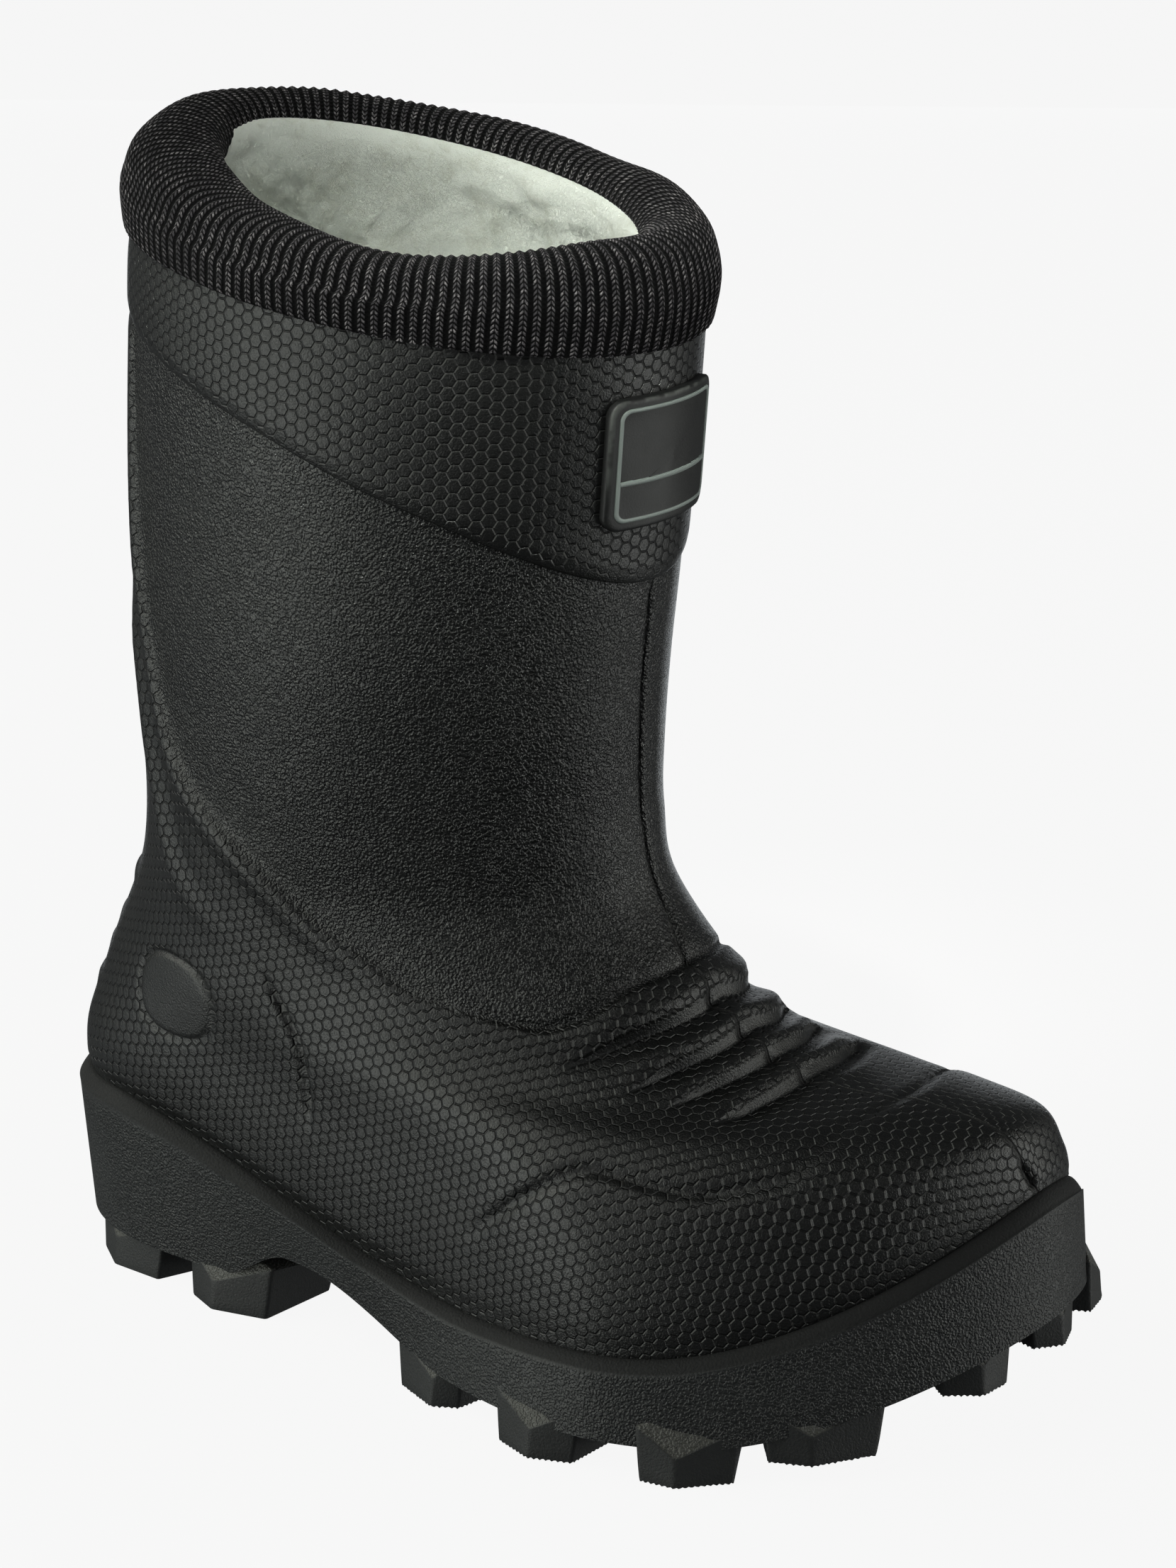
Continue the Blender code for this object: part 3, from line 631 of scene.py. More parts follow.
# Each half of the upper is flattened on a coarse grid, which carries the hexagons.
flatGrid = {
    "rows": 46, "columns": 35,
    "density": np.array([9.0, 10.5, 12.5, 14.0, 15.5, 19.5, 13.0, 13.0, 11.0, 14.0]),  # share of the rows in each level
}
levels = np.arange(len(flatGrid["density"]) + 1.0)
levelAt = np.concatenate([[0.0], np.cumsum(flatGrid["density"])]) / flatGrid["density"].sum()
flatS = np.linspace(0.0, 1.0, flatGrid["columns"])[None, :]
flatV = np.interp(np.linspace(0.0, 1.0, flatGrid["rows"]), levelAt, levels)[:, None]
flatHalves = {"outer": layFlat(upperPoint(flatS, flatV)), "inner": layFlat(upperPoint(2.0 - flatS, flatV))}


def flatPlace(side, s, v):  # place of (s, v) in the flattened half, in millimetres, by a smooth surface
    r = np.interp(v, levels, levelAt) * (flatGrid["rows"] - 1)
    return gridAt(flatHalves[side], r, s * (flatGrid["columns"] - 1))


for side, plane in flatHalves.items():
    e1, e2 = np.diff(plane, axis=1)[:-1], np.diff(plane, axis=0)[:, :-1]
    print("flattened", side, "folded cells", int((e1[..., 0] * e2[..., 1] - e1[..., 1] * e2[..., 0] <= 0).sum()))


def lineField(side, line, points, s, v, margin):
    # distance in space to a line given in (s, v), share of the way along it,
    # and the distance with a sign: above the line is positive
    line = np.array(line, float)
    dense = curveThrough(line, np.linspace(0, len(line) - 1, 8 * (len(line) - 1) + 1))
    path = upperPoint(dense[:, 0] if side == "outer" else 2.0 - dense[:, 0], dense[:, 1])
    lo, hi = path.min(0) - margin, path.max(0) + margin
    near = np.all((points > lo) & (points < hi), axis=-1)
    q = points[near][:, None, :]
    a, step = path[:-1], np.diff(path, axis=0)
    size = np.maximum((step**2).sum(1), 1e-9)
    share = np.clip(((q - a) * step).sum(2) / size, 0.0, 1.0)
    apart = np.sqrt(((q - (a + share[..., None] * step)) ** 2).sum(2))
    best = apart.argmin(1)
    pick = np.arange(len(best))
    run = np.concatenate([[0.0], np.cumsum(np.sqrt(size))])
    dist, along = np.full(s.shape, margin * 2.0), np.zeros(s.shape)
    dist[near] = apart[pick, best]
    along[near] = (run[best] + share[pick, best] * np.sqrt(size[best])) / run[-1]
    if dense[-1, 0] - dense[0, 0] > 0.1:  # a line that runs forward parts above from below, another front from back
        over = v > np.interp(s, dense[:, 0], dense[:, 1])
    else:
        over = s > np.interp(v, *dense[np.argsort(dense[:, 1])].T[::-1])
    return dist, along, np.where(over, dist, -dist)


# Folds and creases, each a line of (s, v): s runs from the back seam to the front one, v from the sole up.
folds = {
    "ankle": [(0.225, 10.4), (0.235, 9.7), (0.262, 9.1), (0.294, 8.56), (0.336, 7.94), (0.381, 7.40), (0.436, 6.88),
              (0.492, 6.30), (0.531, 5.78), (0.567, 5.48), (0.594, 5.16), (0.644, 5.00), (0.708, 4.92), (0.742, 5.00),
              (0.850, 5.36), (0.972, 5.48), (1.05, 5.5)],
    "ankleRise": 0.75, "ankleShadow": 0.85,
    "rear": [(0.20, 8.9), (0.233, 8.36), (0.258, 7.74), (0.275, 7.26), (0.303, 6.36), (0.336, 5.78), (0.378, 5.38),
             (0.42, 5.1)],
    "rearRise": 1.15, "rearTrough": 0.5,
    "flex": [
        [(0.694, 4.38), (0.814, 4.92), (0.972, 5.18), (1.03, 5.18)],
        [(0.736, 4.08), (0.831, 4.56), (0.972, 4.84), (1.03, 4.84)],
        [(0.756, 3.82), (0.844, 4.28), (0.961, 4.52), (1.03, 4.52)],
        [(0.769, 3.46), (0.861, 3.94), (0.969, 4.18), (1.03, 4.18)],
    ],
    "flexDeep": 1.9, "flexWide": (0.5, 2.7), "flexRidge": 0.45, "flexNick": 1.0,
    "toeCap": [(0.539, 1.02), (0.583, 1.78), (0.625, 2.34), (0.650, 2.52), (0.672, 2.46), (0.700, 2.30), (0.725, 2.26),
               (0.758, 2.30), (0.778, 2.34), (0.806, 2.64), (0.847, 2.98), (0.903, 3.22), (0.978, 3.34), (1.03, 3.34)],
    "toeDeep": 1.3, "toeSwell": 0.8, "vampSwell": 0.25,
    "heel": [(0.428, 4.95), (0.433, 4.40), (0.433, 3.74), (0.419, 2.66), (0.414, 1.84), (0.417, 1.40)],
    "heelDeep": 1.5,
    "spurs": [(0.17, 5.02), (0.12, 3.64), (0.12, 2.78), (0.14, 1.86)],  # reach and level of each
    "spurRise": 0.95,
    "seam": [(0.978, -0.1), (0.968, 1.0), (0.966, 2.0), (0.976, 3.3), (0.969, 4.2), (0.972, 5.2), (0.985, 5.6),
             (1.018, 6.1), (1.012, 7.3), (1.0, 10.2)],
    "seamDeep": 0.9, "seamNick": 1.3,
    "oval": {"at": (0.292, 3.04), "wide": 10.6, "tall": 8.0, "power": 2.4, "rise": 0.55, "rim": 0.6},
}
seamLoop = curveThrough(np.array(folds["seam"]), np.linspace(0, len(folds["seam"]) - 1, 80))
seamT, seamV = seamLoop[:, 0], seamLoop[:, 1]  # the parting line, t over v


def fadeEnds(along, first, last):  # 0 at both ends of a line, 1 between, over these shares of its length
    return ease(along / first) * ease((1 - along) / last)


def upperRelief(side, s, v):
    # height of the folds over the plain wall in millimetres, and where hexagons, grain and the parting line lie:
    # each fold is a bell curve or a smooth step of the distance to its line, faded out at its ends
    points = upperPoint(s if side == "outer" else 2.0 - s, v)

    def field(line, margin):
        return lineField(side, line, points, s, v, margin)

    relief = np.zeros(s.shape)
    below = -field(folds["ankle"], 14.0)[2]
    onHex = ease((below + 0.5) / 1.4)
    rearPart = 1.0 - ease((s - 0.42) / 0.2)
    relief += folds["ankleRise"] * onHex * (0.35 + 0.65 * rearPart)
    relief += (0.35 + 0.75 * rearPart) * bump(below - 2.4, 2.6) * ease((10.2 - v) / 1.2)
    # shadow line where the shaft meets the first ridge
    relief -= folds["ankleShadow"] * bump(below + 0.7, 1.0) * ease((s - 0.62) / 0.12)
    dist, along, above = field(folds["rear"], 12.0)
    relief += folds["rearRise"] * bump(dist, 2.6) * fadeEnds(along, 0.2, 0.45)
    relief -= folds["rearTrough"] * bump(dist - 6.0, 2.4) * (above > 0) * fadeEnds(along, 0.2, 0.4)
    bare = np.zeros(s.shape)
    narrow, broad = folds["flexWide"]
    for line in folds["flex"]:
        # like a step: each ridge rolls over into a narrow smooth face,
        # which ends in a sharp line where the next ridge sets out low
        dist, along, above = field(line, 9.0)
        strength = ease(along / 0.35)
        wide = narrow + (broad - narrow) * along**0.8
        face = np.where(dist < wide, 1.0 - 0.8 * dist / wide, 0.2 * (1.0 - ease((dist - wide) / 1.6)))
        relief -= folds["flexDeep"] * strength * np.where(above >= 0, face, (1.0 - ease(dist / 5.0)) ** 1.2)
        relief += folds["flexRidge"] * strength * np.where(above > 0, bump(dist - wide - 2.0, 1.8), 0.0)
        smooth = np.where(above >= 0, ease((wide + 0.2 - dist) / 0.45), ease((0.45 - dist) / 0.3))
        bare = np.maximum(bare, smooth * ease(along / 0.12))
        level = line[2][1]
        end = upperPoint(np.interp(level, seamV, seamT), level + 0.03)
        # nick where the face meets the parting line
        relief -= folds["flexNick"] * bump(np.linalg.norm(points - end, axis=-1), 1.1)
    dist, along, above = field(folds["toeCap"], 30.0)
    depth = ease(along / 0.12) * (1.0 - 0.72 * ease((along - 0.5) / 0.2))
    relief -= folds["toeDeep"] * depth * bump(dist, 0.8 + 0.5 * ease(along / 0.4))
    swell = np.where(above < 0, np.exp(-dist / 9.0) * (1 - np.exp(-dist / 1.2)), 0.0)
    relief += folds["toeSwell"] * swell * ease(along / 0.15)
    swell = np.where(above > 0, np.exp(-dist / 6.0) * (1 - np.exp(-dist / 1.5)), 0.0)
    relief += folds["vampSwell"] * swell * depth
    dist, along, _ = field(folds["heel"], 6.0)
    relief -= folds["heelDeep"] * bump(dist, 0.8) * fadeEnds(along, 0.25, 0.25)
    for reach, level in folds["spurs"]:
        line = [(-0.03, level), (reach * 0.4, level - 0.04), (reach * 0.8, level - 0.10), (reach, level - 0.16)]
        dist, along, _ = field(line, 8.0)
        relief += folds["spurRise"] * bump(dist, 1.25) * ease((1 - along) / 0.5)
    if side == "outer":
        oval = folds["oval"]  # plain oval field on the heel, sunk in at its rim
        q = np.abs(points - upperPoint(*oval["at"]))
        radius = (q[..., 0] / oval["wide"]) ** oval["power"] + (q[..., 2] / oval["tall"]) ** oval["power"]
        radius = radius ** (1 / oval["power"])
        inside = 1.0 - ease((radius - 0.96) / 0.10)
        relief += oval["rise"] * inside * (1.0 - 0.5 * radius**2)
        relief -= oval["rim"] * bump((radius - 1.02) * oval["wide"], 0.7)
        bare = np.maximum(bare, inside)
        seamLine = field(folds["seam"], 6.0)[2]
    else:
        seamLine = -field([(2.0 - t, level) for t, level in folds["seam"]], 6.0)[2]
    near = np.minimum(np.abs(seamLine), 50.0)
    relief -= folds["seamDeep"] * bump(near, 0.6) * ease((v - 5.3) / 0.3)
    nick = ease((v - 0.1) / 0.25) * ease((1.35 - v) / 0.5) * (near < 5.0)
    relief -= folds["seamNick"] * nick * bump(near, 0.8)
    melt = ease(v / 0.5) * 0.6 + 0.4
    hexWeight = onHex * (1.0 - bare) * melt
    grainWeight = (1.0 - onHex) + 0.03 * bare
    return relief, hexWeight, grainWeight, np.clip(seamLine, -5.0, 5.0)


upperGrid = {
    "columns": 512, "hemIn": -0.9, "hemDrop": 3.0,
    # from row, to row and count; the rows lie closest together across the flex folds
    "rows": [(0.0, 1.0, 13), (1.0, 3.35, 30), (3.35, 5.55, 96), (5.55, 9.7, 44), (9.7, 10.0, 6)],
}
upperV = np.concatenate([np.linspace(low, high, count, endpoint=high == bandRow)
                         for low, high, count in upperGrid["rows"]])
tGrid, vGrid = np.meshgrid(ringPlaces(upperGrid["columns"]), upperV)
fields = [upperRelief(side, sideShare(tGrid), vGrid) for side in ("outer", "inner")]
relief, hexWeight, grainWeight, seamLine = (np.where(tGrid <= 1.0, outer, inner) for outer, inner in zip(*fields))
shell = wallPoint(tGrid, vGrid, relief * ease(vGrid / 0.35) * ease((bandRow - vGrid) / 0.12))
hem = spread(shell[0], upperGrid["hemIn"])
hem[:, 2] -= upperGrid["hemDrop"]
shell = np.concatenate([hem[None], shell])  # the lowest row is tucked behind the ledge
# hexagon places: each half uses its own flattened plane; the change lies on the parting line
edgeT = np.arange(upperGrid["columns"] + 1) * 2.0 / upperGrid["columns"]
uvT, uvV = np.meshgrid(edgeT, np.concatenate([[0.0], upperV]))
onOuter = (uvT <= np.interp(uvV, seamV, seamT))[..., None]
upperUv = np.where(onOuter, flatPlace("outer", np.minimum(uvT, 1.1), uvV),
                   flatPlace("inner", np.minimum(2.0 - uvT, 1.1), uvV))
weights = {"hexWeight": hexWeight, "grainWeight": grainWeight, "seamLine": seamLine}
upperShell = gridPiece("upperShell", shell, ring=True, uv=upperUv, attributes={
    key: np.concatenate([value[:1], value]) for key, value in weights.items()})
dress(upperShell, upperFinish, "upper_rubber", "upper")
print("upper shell:", len(upperShell.data.polygons), "faces")


# Band below the cuff: a flat strip 1 mm proud of the shaft, with a rounded lower edge; it fades under the cuff.
band = {
    "columns": 384, "rows": 22, "from": 10.09, "to": 11.4, "proud": 1.0, "middle": 10.5, "hexPitch": 2.53,
    "edge": [(10.0, -0.4), (10.0, 0.25), (10.006, 0.6), (10.02, 0.85), (10.05, 0.98)],  # row and millimetres out
}
bandFlat = np.linspace(band["from"], band["to"], band["rows"])
bandOut = np.clip(collarRow - bandFlat, 0.0, band["proud"])
bandV, bandRise = np.concatenate([np.array(band["edge"]), np.stack([bandFlat, bandOut], 1)]).T
bandPoints = wallPoint(ringPlaces(band["columns"])[None, :], bandV[:, None], bandRise[:, None])
bandU = runAlong(upperPoint(np.linspace(0, 2, band["columns"] + 1), band["middle"]))
bandU = bandU - bandU[band["columns"] // 2]
bandW = np.concatenate([bandPoints[..., 2], bandPoints[:, :1, 2]], 1)  # upright: height itself
bandUv = np.stack([np.broadcast_to(bandU, bandW.shape), bandW], -1) * rubberLook["hexPitch"] / band["hexPitch"]
bandHex = ease((bandV - 10.03) / 0.05)[:, None]  # no hexagons on the rounded edge
bandShell = gridPiece("bandShell", bandPoints, ring=True, uv=bandUv,
                      attributes={"hexWeight": bandHex, "grainWeight": 0.0, "seamLine": 5.0})
dress(bandShell, upperFinish, "upper_rubber")
print("band made")


# Sole: ledge, side wall and underside in one skin, row by row from the upper to the middle line underneath.
sole = {
    "columns": 480, "wallRows": 22, "bottomRows": 12, "wide": 2.6, "fall": 0.8,
    "ledge": [(-1.6, 1.2), (-0.8, 0.55), (0.0, 0.4), (0.55, 0.6), (1.1, 1.05), (1.65, 1.7), (2.15, 2.45), (2.45, 3.0)],
    "fullWall": 22.0, "leastWall": 0.45,  # the ledge's fall shrinks where the wall is lower than this
    "flare": (-2.5, 1.5), "flareAt": (0.40, 0.20),  # how far the wall leans out at the heel and at the toe
    "grain": {"ledge": 0.3, "under": 0.4}, "spine": (6.0, 188.0),
}
soleT = ringPlaces(sole["columns"])
soleA = lengthShare(soleT)
feather = upperPoint(soleT, 0.0)
heelFlare, toeFlare = sole["flare"]
flare = heelFlare + (toeFlare - heelFlare) * ease((sideShare(soleT) - sole["flareAt"][0]) / sole["flareAt"][1])
rim = feather[:, 2] - sole["fall"]
wallTall = rim - underside(soleA, feather[:, 0], feather[:, 1])
tallness = np.clip(wallTall / sole["fullWall"], sole["leastWall"], 1.0)
soleRows = []  # each row: loop, weight of the grain, 1 on the ledge
for out, drop in sole["ledge"]:  # the ledge slopes outward
    loop = spread(feather, out)
    loop[:, 2] = feather[:, 2] - drop * tallness
    soleRows.append((loop, sole["grain"]["ledge"], 1.0))
for q in np.linspace(0.10, 1.0, sole["wallRows"]):  # side wall, from rim to underside
    loop = spread(feather, sole["wide"] + flare * q)
    loop[:, 2] = rim + (underside(soleA, loop[:, 0], loop[:, 1]) - rim) * q
    soleRows.append((loop, ease((q - 0.08) / 0.06), 0.0))
soleEdge = soleRows[-1][0]
for q in np.linspace(0.012, 1.0, sole["bottomRows"]):  # underside, closing on its middle line
    loop = closeIn(soleEdge, middleLine(soleA, *sole["spine"]), q)
    loop[:, 2] = underside(soleA, loop[:, 0], loop[:, 1])
    soleRows.append((loop, sole["grain"]["under"], 0.0))
soleLoops, soleGrain, soleShade = (np.array(column) for column in zip(*soleRows))
soleSkin = gridPiece("soleSkin", soleLoops, ring=True, flip=True,
                     attributes={"grainWeight": soleGrain[:, None], "shade": soleShade[:, None]})
sharpen(soleSkin, 50)
dress(soleSkin, soleFinish, "sole_rubber", "sole")

lugs = {
    "rows": [  # outer corner x, y, facing in degrees, reach back, reach forward, depth
        (17, -29.8, -108, 8.5, 11.5, 15), (46, -34.8, -92, 7.5, 11.5, 21), (106, -43.6, -97, 10.5, 4.5, 16),
        (132.5, -49.8, -90, 8.5, 8, 18), (161, -44.2, -58, 6.5, 10.5, 17), (180.3, -29.2, -46, 7.5, 12.5, 18),
        (199.6, -2.6, -30, 7, 6.5, 11), (205.4, 16, -8, 5.4, 6, 10), (201.2, 37.4, 38, 6, 7.5, 10),
        (176, 48.6, 78, 8, 7, 18), (146, 49.4, 95, 8, 7, 18), (108, 40.8, 103, 4.5, 7.5, 15),
        (46, 33, 92, 10.5, 6, 19), (17, 29.2, 108, 11.5, 6.5, 15)],
    "heelLugs": (0, 1, 12, 13),  # these have no scallops
    "top": 6.0, "shelf": 10.8, "root": 8.2, "spring": 0.96, "columns": 168,
    # how far the outer corner juts out, how the top's outline is shifted and widened, and how deep the facet runs
    "slant": 3.0, "lean": 0.6, "spread": 1.12, "soften": 0.45, "hub": 5.2,
    "scallop": 1.15, "scallopDeep": 0.4, "dots": 2.3, "facetRows": 4, "grain": (0.12, 0.9),
}


def evenLoop(polygon, count):  # a closed polygon at evenly spaced places, and how far apart they are in plan
    closed = np.concatenate([polygon, polygon[:1]])
    run = runAlong(closed[:, :2])
    place = np.linspace(0.0, run[-1], count, endpoint=False)
    return np.stack([np.interp(place, run, column) for column in closed.T], 1), run[-1] / count


def softLoop(loop, reach):  # corners softened by a moving average over so many neighbours on both sides
    return sum(np.roll(loop, k, 0) for k in range(-reach, reach + 1)) / (2 * reach + 1)


def makeLug(x, y, facing, back, front, depth, scallop):
    # block standing on the ground: its outline rises along the sides to a sloping facet
    # between the wall and the outer corner
    turn = math.radians(facing)
    out = np.array([math.cos(turn), math.sin(turn)])
    along = np.array([-math.sin(turn), math.cos(turn)])
    base = float(toeSpring(x, y)) * lugs["spring"]
    slant, lean, hubIn = lugs["slant"], lugs["lean"], lugs["hub"]
    plan = np.array([(-slant, -back), (0.0, 0.0), (-slant, front), (-depth, front + 1.0), (-depth, -back + 1.0)])
    rise = np.array([lugs["shelf"], lugs["top"], lugs["shelf"], lugs["root"], lugs["root"]])
    high = np.stack([plan[:, 0] - lean, plan[:, 1] * lugs["spread"]], 1)
    both, step = evenLoop(np.concatenate([plan, high, rise[:, None]], 1), lugs["columns"])
    both = softLoop(both, max(1, int(round(lugs["soften"] / step))))
    lowPlan, highPlan, top = both[:, 0:2], both[:, 2:4], both[:, 4]
    middle = lowPlan.mean(0)
    deep = lugs["scallopDeep"] * scallop
    wave = np.abs(np.sin(np.pi * np.arange(lugs["columns"]) * step / lugs["scallop"])) * deep
    rows = []  # each row: outline in plan, height
    for share in (0.02, 0.4, 0.7, 0.88):  # underneath, from the middle outward
        plain = middle + (lowPlan - middle) * share
        dots = 0.5 - 0.5 * np.cos(plain * 2 * np.pi / lugs["dots"]).prod(1)
        rows.append((plain, dots * deep))
    rows.append((middle + (lowPlan - middle) * 0.955, wave))
    rows.append((middle + (lowPlan - middle) * 0.99, wave + 0.12))
    rows.append((lowPlan, wave + 0.55))
    for share in (0.3, 0.6, 0.9):
        rows.append((lowPlan + (highPlan - lowPlan) * share, np.maximum(top * share, 0.6 + wave)))
    centre = highPlan.mean(0)
    rows.append((highPlan, top - 0.35))
    rows.append((highPlan + 0.4 * unit(centre - highPlan), top - 0.02))
    hub = np.array([-hubIn, (front - back) * 0.3])
    hubTop = lugs["top"] + (hubIn - lean) * (lugs["shelf"] - lugs["top"]) / slant
    for share in (0.25, 0.6, 1.0):  # the facet, flat between its three corners
        rows.append((highPlan + (hub - highPlan) * share, top + (hubTop - top) * share))
    plans, heights = (np.array(np.broadcast_arrays(*column)) for column in zip(*rows))
    flatPart = np.array([x, y]) + plans[..., :1] * out + plans[..., 1:] * along
    return np.concatenate([flatPart, (base + heights)[..., None]], -1)


lugPoints = np.array([makeLug(*row, 0.0 if i in lugs["heelLugs"] else 1.0) for i, row in enumerate(lugs["rows"])])
lugRows = lugPoints.shape[1]
onFacet = (np.arange(lugRows) >= lugRows - lugs["facetRows"])[:, None]
# dust marks the facet rows, which the sole finish paints lighter: partly dust, partly painted light
lugSkin = gridPiece("lugs", lugPoints, ring=True, attributes={
    "grainWeight": np.where(onFacet, lugs["grain"][1], lugs["grain"][0]), "dust": np.where(onFacet, 1.0, 0.0)})
sharpen(lugSkin, 40)
dress(lugSkin, soleFinish, "sole_rubber")

pads = {
    "rows": [(30.0, 0.0, 7.5), (122.0, 1.0, 8.0), (146.0, 4.0, 8.0), (171.0, 9.0, 7.5)],  # x, y and radius
    "rings": [(0.02, 0.35), (0.45, 0.35), (0.5, 0.0), (0.93, 0.0), (1.0, 0.45), (1.06, 3.0), (1.16, 9.0)],
    "columns": 60, "grain": 0.3,
}
padX, padY, padRadius = (np.array(column)[:, None, None] for column in zip(*pads["rows"]))
padReach, padRise = (np.array(column)[None, :, None] for column in zip(*pads["rings"]))  # share of the radius, height
padTurn = np.arange(pads["columns"]) * 2 * np.pi / pads["columns"]
padSix = math.cos(math.pi / 6) / np.cos((padTurn + math.pi / 6) % (math.pi / 3) - math.pi / 6)  # six-sided outline
padOut = padRadius * padReach * padSix
padPoints = np.stack(np.broadcast_arrays(padX + padOut * np.cos(padTurn), padY + padOut * np.sin(padTurn),
                                         toeSpring(padX, padY) * lugs["spring"] + padRise), -1)
padSkin = gridPiece("treadPads", padPoints, ring=True, attributes={"grainWeight": pads["grain"]})
sharpen(padSkin, 40)
dress(padSkin, soleFinish, "sole_rubber")
print("sole made:", len(soleSkin.data.polygons) + len(lugSkin.data.polygons), "faces")


# Knit cuff: a rolled rim of upright ribs, one section carried round the collar.
cuff = {
    # section of the roll, out from the collar's edge and up
    "section": [(1.7, -13.2), (2.3, -12.2), (2.8, -9.6), (3.4, -5.4), (3.4, -1.0), (1.9, 3.4), (-1.4, 5.9),
                (-5.2, 6.4), (-8.8, 4.9), (-11.0, 1.6), (-11.4, -2.2), (-10.5, -5.4), (-8.0, -8.2), (-4.6, -9.8)],
    "rows": 60, "perRib": 6, "ribDeep": 0.22, "ribPower": 0.7, "sink": 0.25, "lump": 0.35, "lumpSize": 26.0,
    # how far the roll sags and how far it leans inward, at each tenth of t
    # from the back seam over the outer side and home over the inner side
    "sag": [0.9, 2.0, 3.4, 4.6, 5.6, 6.3, 6.5, 4.4, 2.2, 0.4, 0, 0, 0, 0, 0, 0, 0, 0, 0, 0.2],
    "lean": [1.2, 2.8, 4.4, 5.4, 4.5, 2.6, 1.0, 0.2, 0.1, 0.3, 0.3, 0.3, 0.3, 0.2, 0, 0, 0, 0, 0.2, 0.6],
}
cuffColumns = knitLook["ribs"] * cuff["perRib"]
collarT = np.linspace(0.0, 2.0, 401)
collarRun = runAlong(upperPoint(collarT, collarRow))
cuffT = np.interp(np.arange(cuffColumns) / cuffColumns, collarRun / collarRun[-1], collarT)  # ribs evenly apart
section = curveThrough(np.array(cuff["section"]), np.linspace(0, len(cuff["section"]) - 1, cuff["rows"]))
collar = upperPoint(cuffT, collarRow)
drop = np.maximum(-section[:, 1], 0.0)[:, None]
cuffV = np.full((cuff["rows"], cuffColumns), collarRow)
for _ in range(40):  # rows of the wall that far below the collar
    miss = collar[None, :, 2] - drop - upperPoint(cuffT[None, :], cuffV)[..., 2]
    cuffV = np.clip(cuffV + miss / 60.0, 0.0, collarRow)


def roundCuff(key, t):  # smooth value of a table round the cuff
    return curveThrough(np.array(cuff[key] + cuff[key][:1], float), t * 10.0)


cuffRow = np.arange(cuff["rows"])[:, None]
sectionOut, sectionUp = section[:, :1], section[:, 1:]
leanShare = ease((-1.0 - sectionOut) / 9.0) * (1.0 - 0.6 * ease((cuffRow / cuff["rows"] - 0.8) / 0.2))
cuffBase = spread(upperPoint(cuffT[None, :], cuffV), sectionOut - roundCuff("lean", cuffT)[None, :] * leanShare)
topShare = ease((sectionUp + 9.0) / 11.0)
cuffBase[..., 2] = collar[None, :, 2] + sectionUp - roundCuff("sag", cuffT)[None, :] * topShare
cuffNormal = -surfaceNormals(cuffBase)
outerRow = cuff["rows"] // 3
fromMiddle = cuffBase[outerRow, :, :2] - cuffBase[outerRow, :, :2].mean(0)
cuffNormal = cuffNormal * np.sign((cuffNormal[outerRow, :, :2] * fromMiddle).sum())  # points out of the roll
ribPhase = np.arange(cuffColumns) / cuff["perRib"]
ribShape = 1.0 - 2.0 * np.abs(ribPhase % 1.0 - 0.5) * 2.0  # -1 in the valley, 1 on the rib
ribShape = np.sign(ribShape) * np.abs(ribShape) ** cuff["ribPower"]
fade = ease(cuffRow / 4.0) * (1.0 - 0.8 * ease((cuffRow - 34.0) / 8.0))  # flat at the hem, low inside the roll
lump = softNoise(cuffBase, cuff["lumpSize"], seed=3) * cuff["lump"]
cuffPoints = cuffBase + cuffNormal * (cuff["ribDeep"] * ribShape * fade + lump * fade - cuff["sink"])[..., None]
pathRun = np.zeros((cuff["rows"], cuffColumns + 1))  # millimetres along each rib
pathRun[1:, :-1] = np.cumsum(np.linalg.norm(np.diff(cuffBase, axis=0), axis=-1), axis=0)
pathRun[:, -1] = pathRun[:, 0]
ribEdge = np.arange(cuffColumns + 1) / cuff["perRib"]
cuffUv = np.stack(np.broadcast_arrays(ribEdge[None, :], pathRun), -1)
cuffRoll = gridPiece("cuffRoll", cuffPoints, ring=True, uv=cuffUv)
dress(cuffRoll, knitFinish, "rib_knit", "knit_cuff")
print("cuff made:", len(cuffRoll.data.polygons), "faces")


# Pile lining: the wall moved inward and swollen into soft lumps.
pile = {
    "columns": 240, "rows": 110, "lowest": 0.8, "lump": 0.35, "lumpSize": 15.0, "tuft": 0.25, "tuftSize": 5.0,
    # thick and full under the cuff, thinner down the shaft and in the toe: row and millimetres from the wall
    "inset": [(0.0, 4.6), (2.0, 4.8), (7.0, 6.0), (8.5, 9.0), (9.6, 11.4), (10.6, 12.0), (11.2, 12.4), (11.5, 12.6),
              (11.75, 12.7), (12.0, 12.5)],
    "lip": [(-5.6, -1.5), (-7.6, 0.8), (-9.6, 1.9), (-11.4, 1.7), (-12.3, 0.9)],  # rolled outward under the knit
}


def pileSurface(t, v):  # wall less the inset, less lumps and tufts of noise; near the collar it sags with the cuff
    base = wallPoint(t, v, -np.interp(v, *zip(*pile["inset"])))
    lumps = pile["lump"] * (softNoise(base, pile["lumpSize"], seed=11) + 1.0)
    swell = lumps + pile["tuft"] * softNoise(base, pile["tuftSize"], seed=12)
    points = base - wallNormal(t, v) * (np.maximum(swell, 0.0) * ease((v - 1.0) / 2.0))[..., None]
    points[..., 2] -= roundCuff("sag", t) * ease((v - 10.9) / 1.1)
    return points


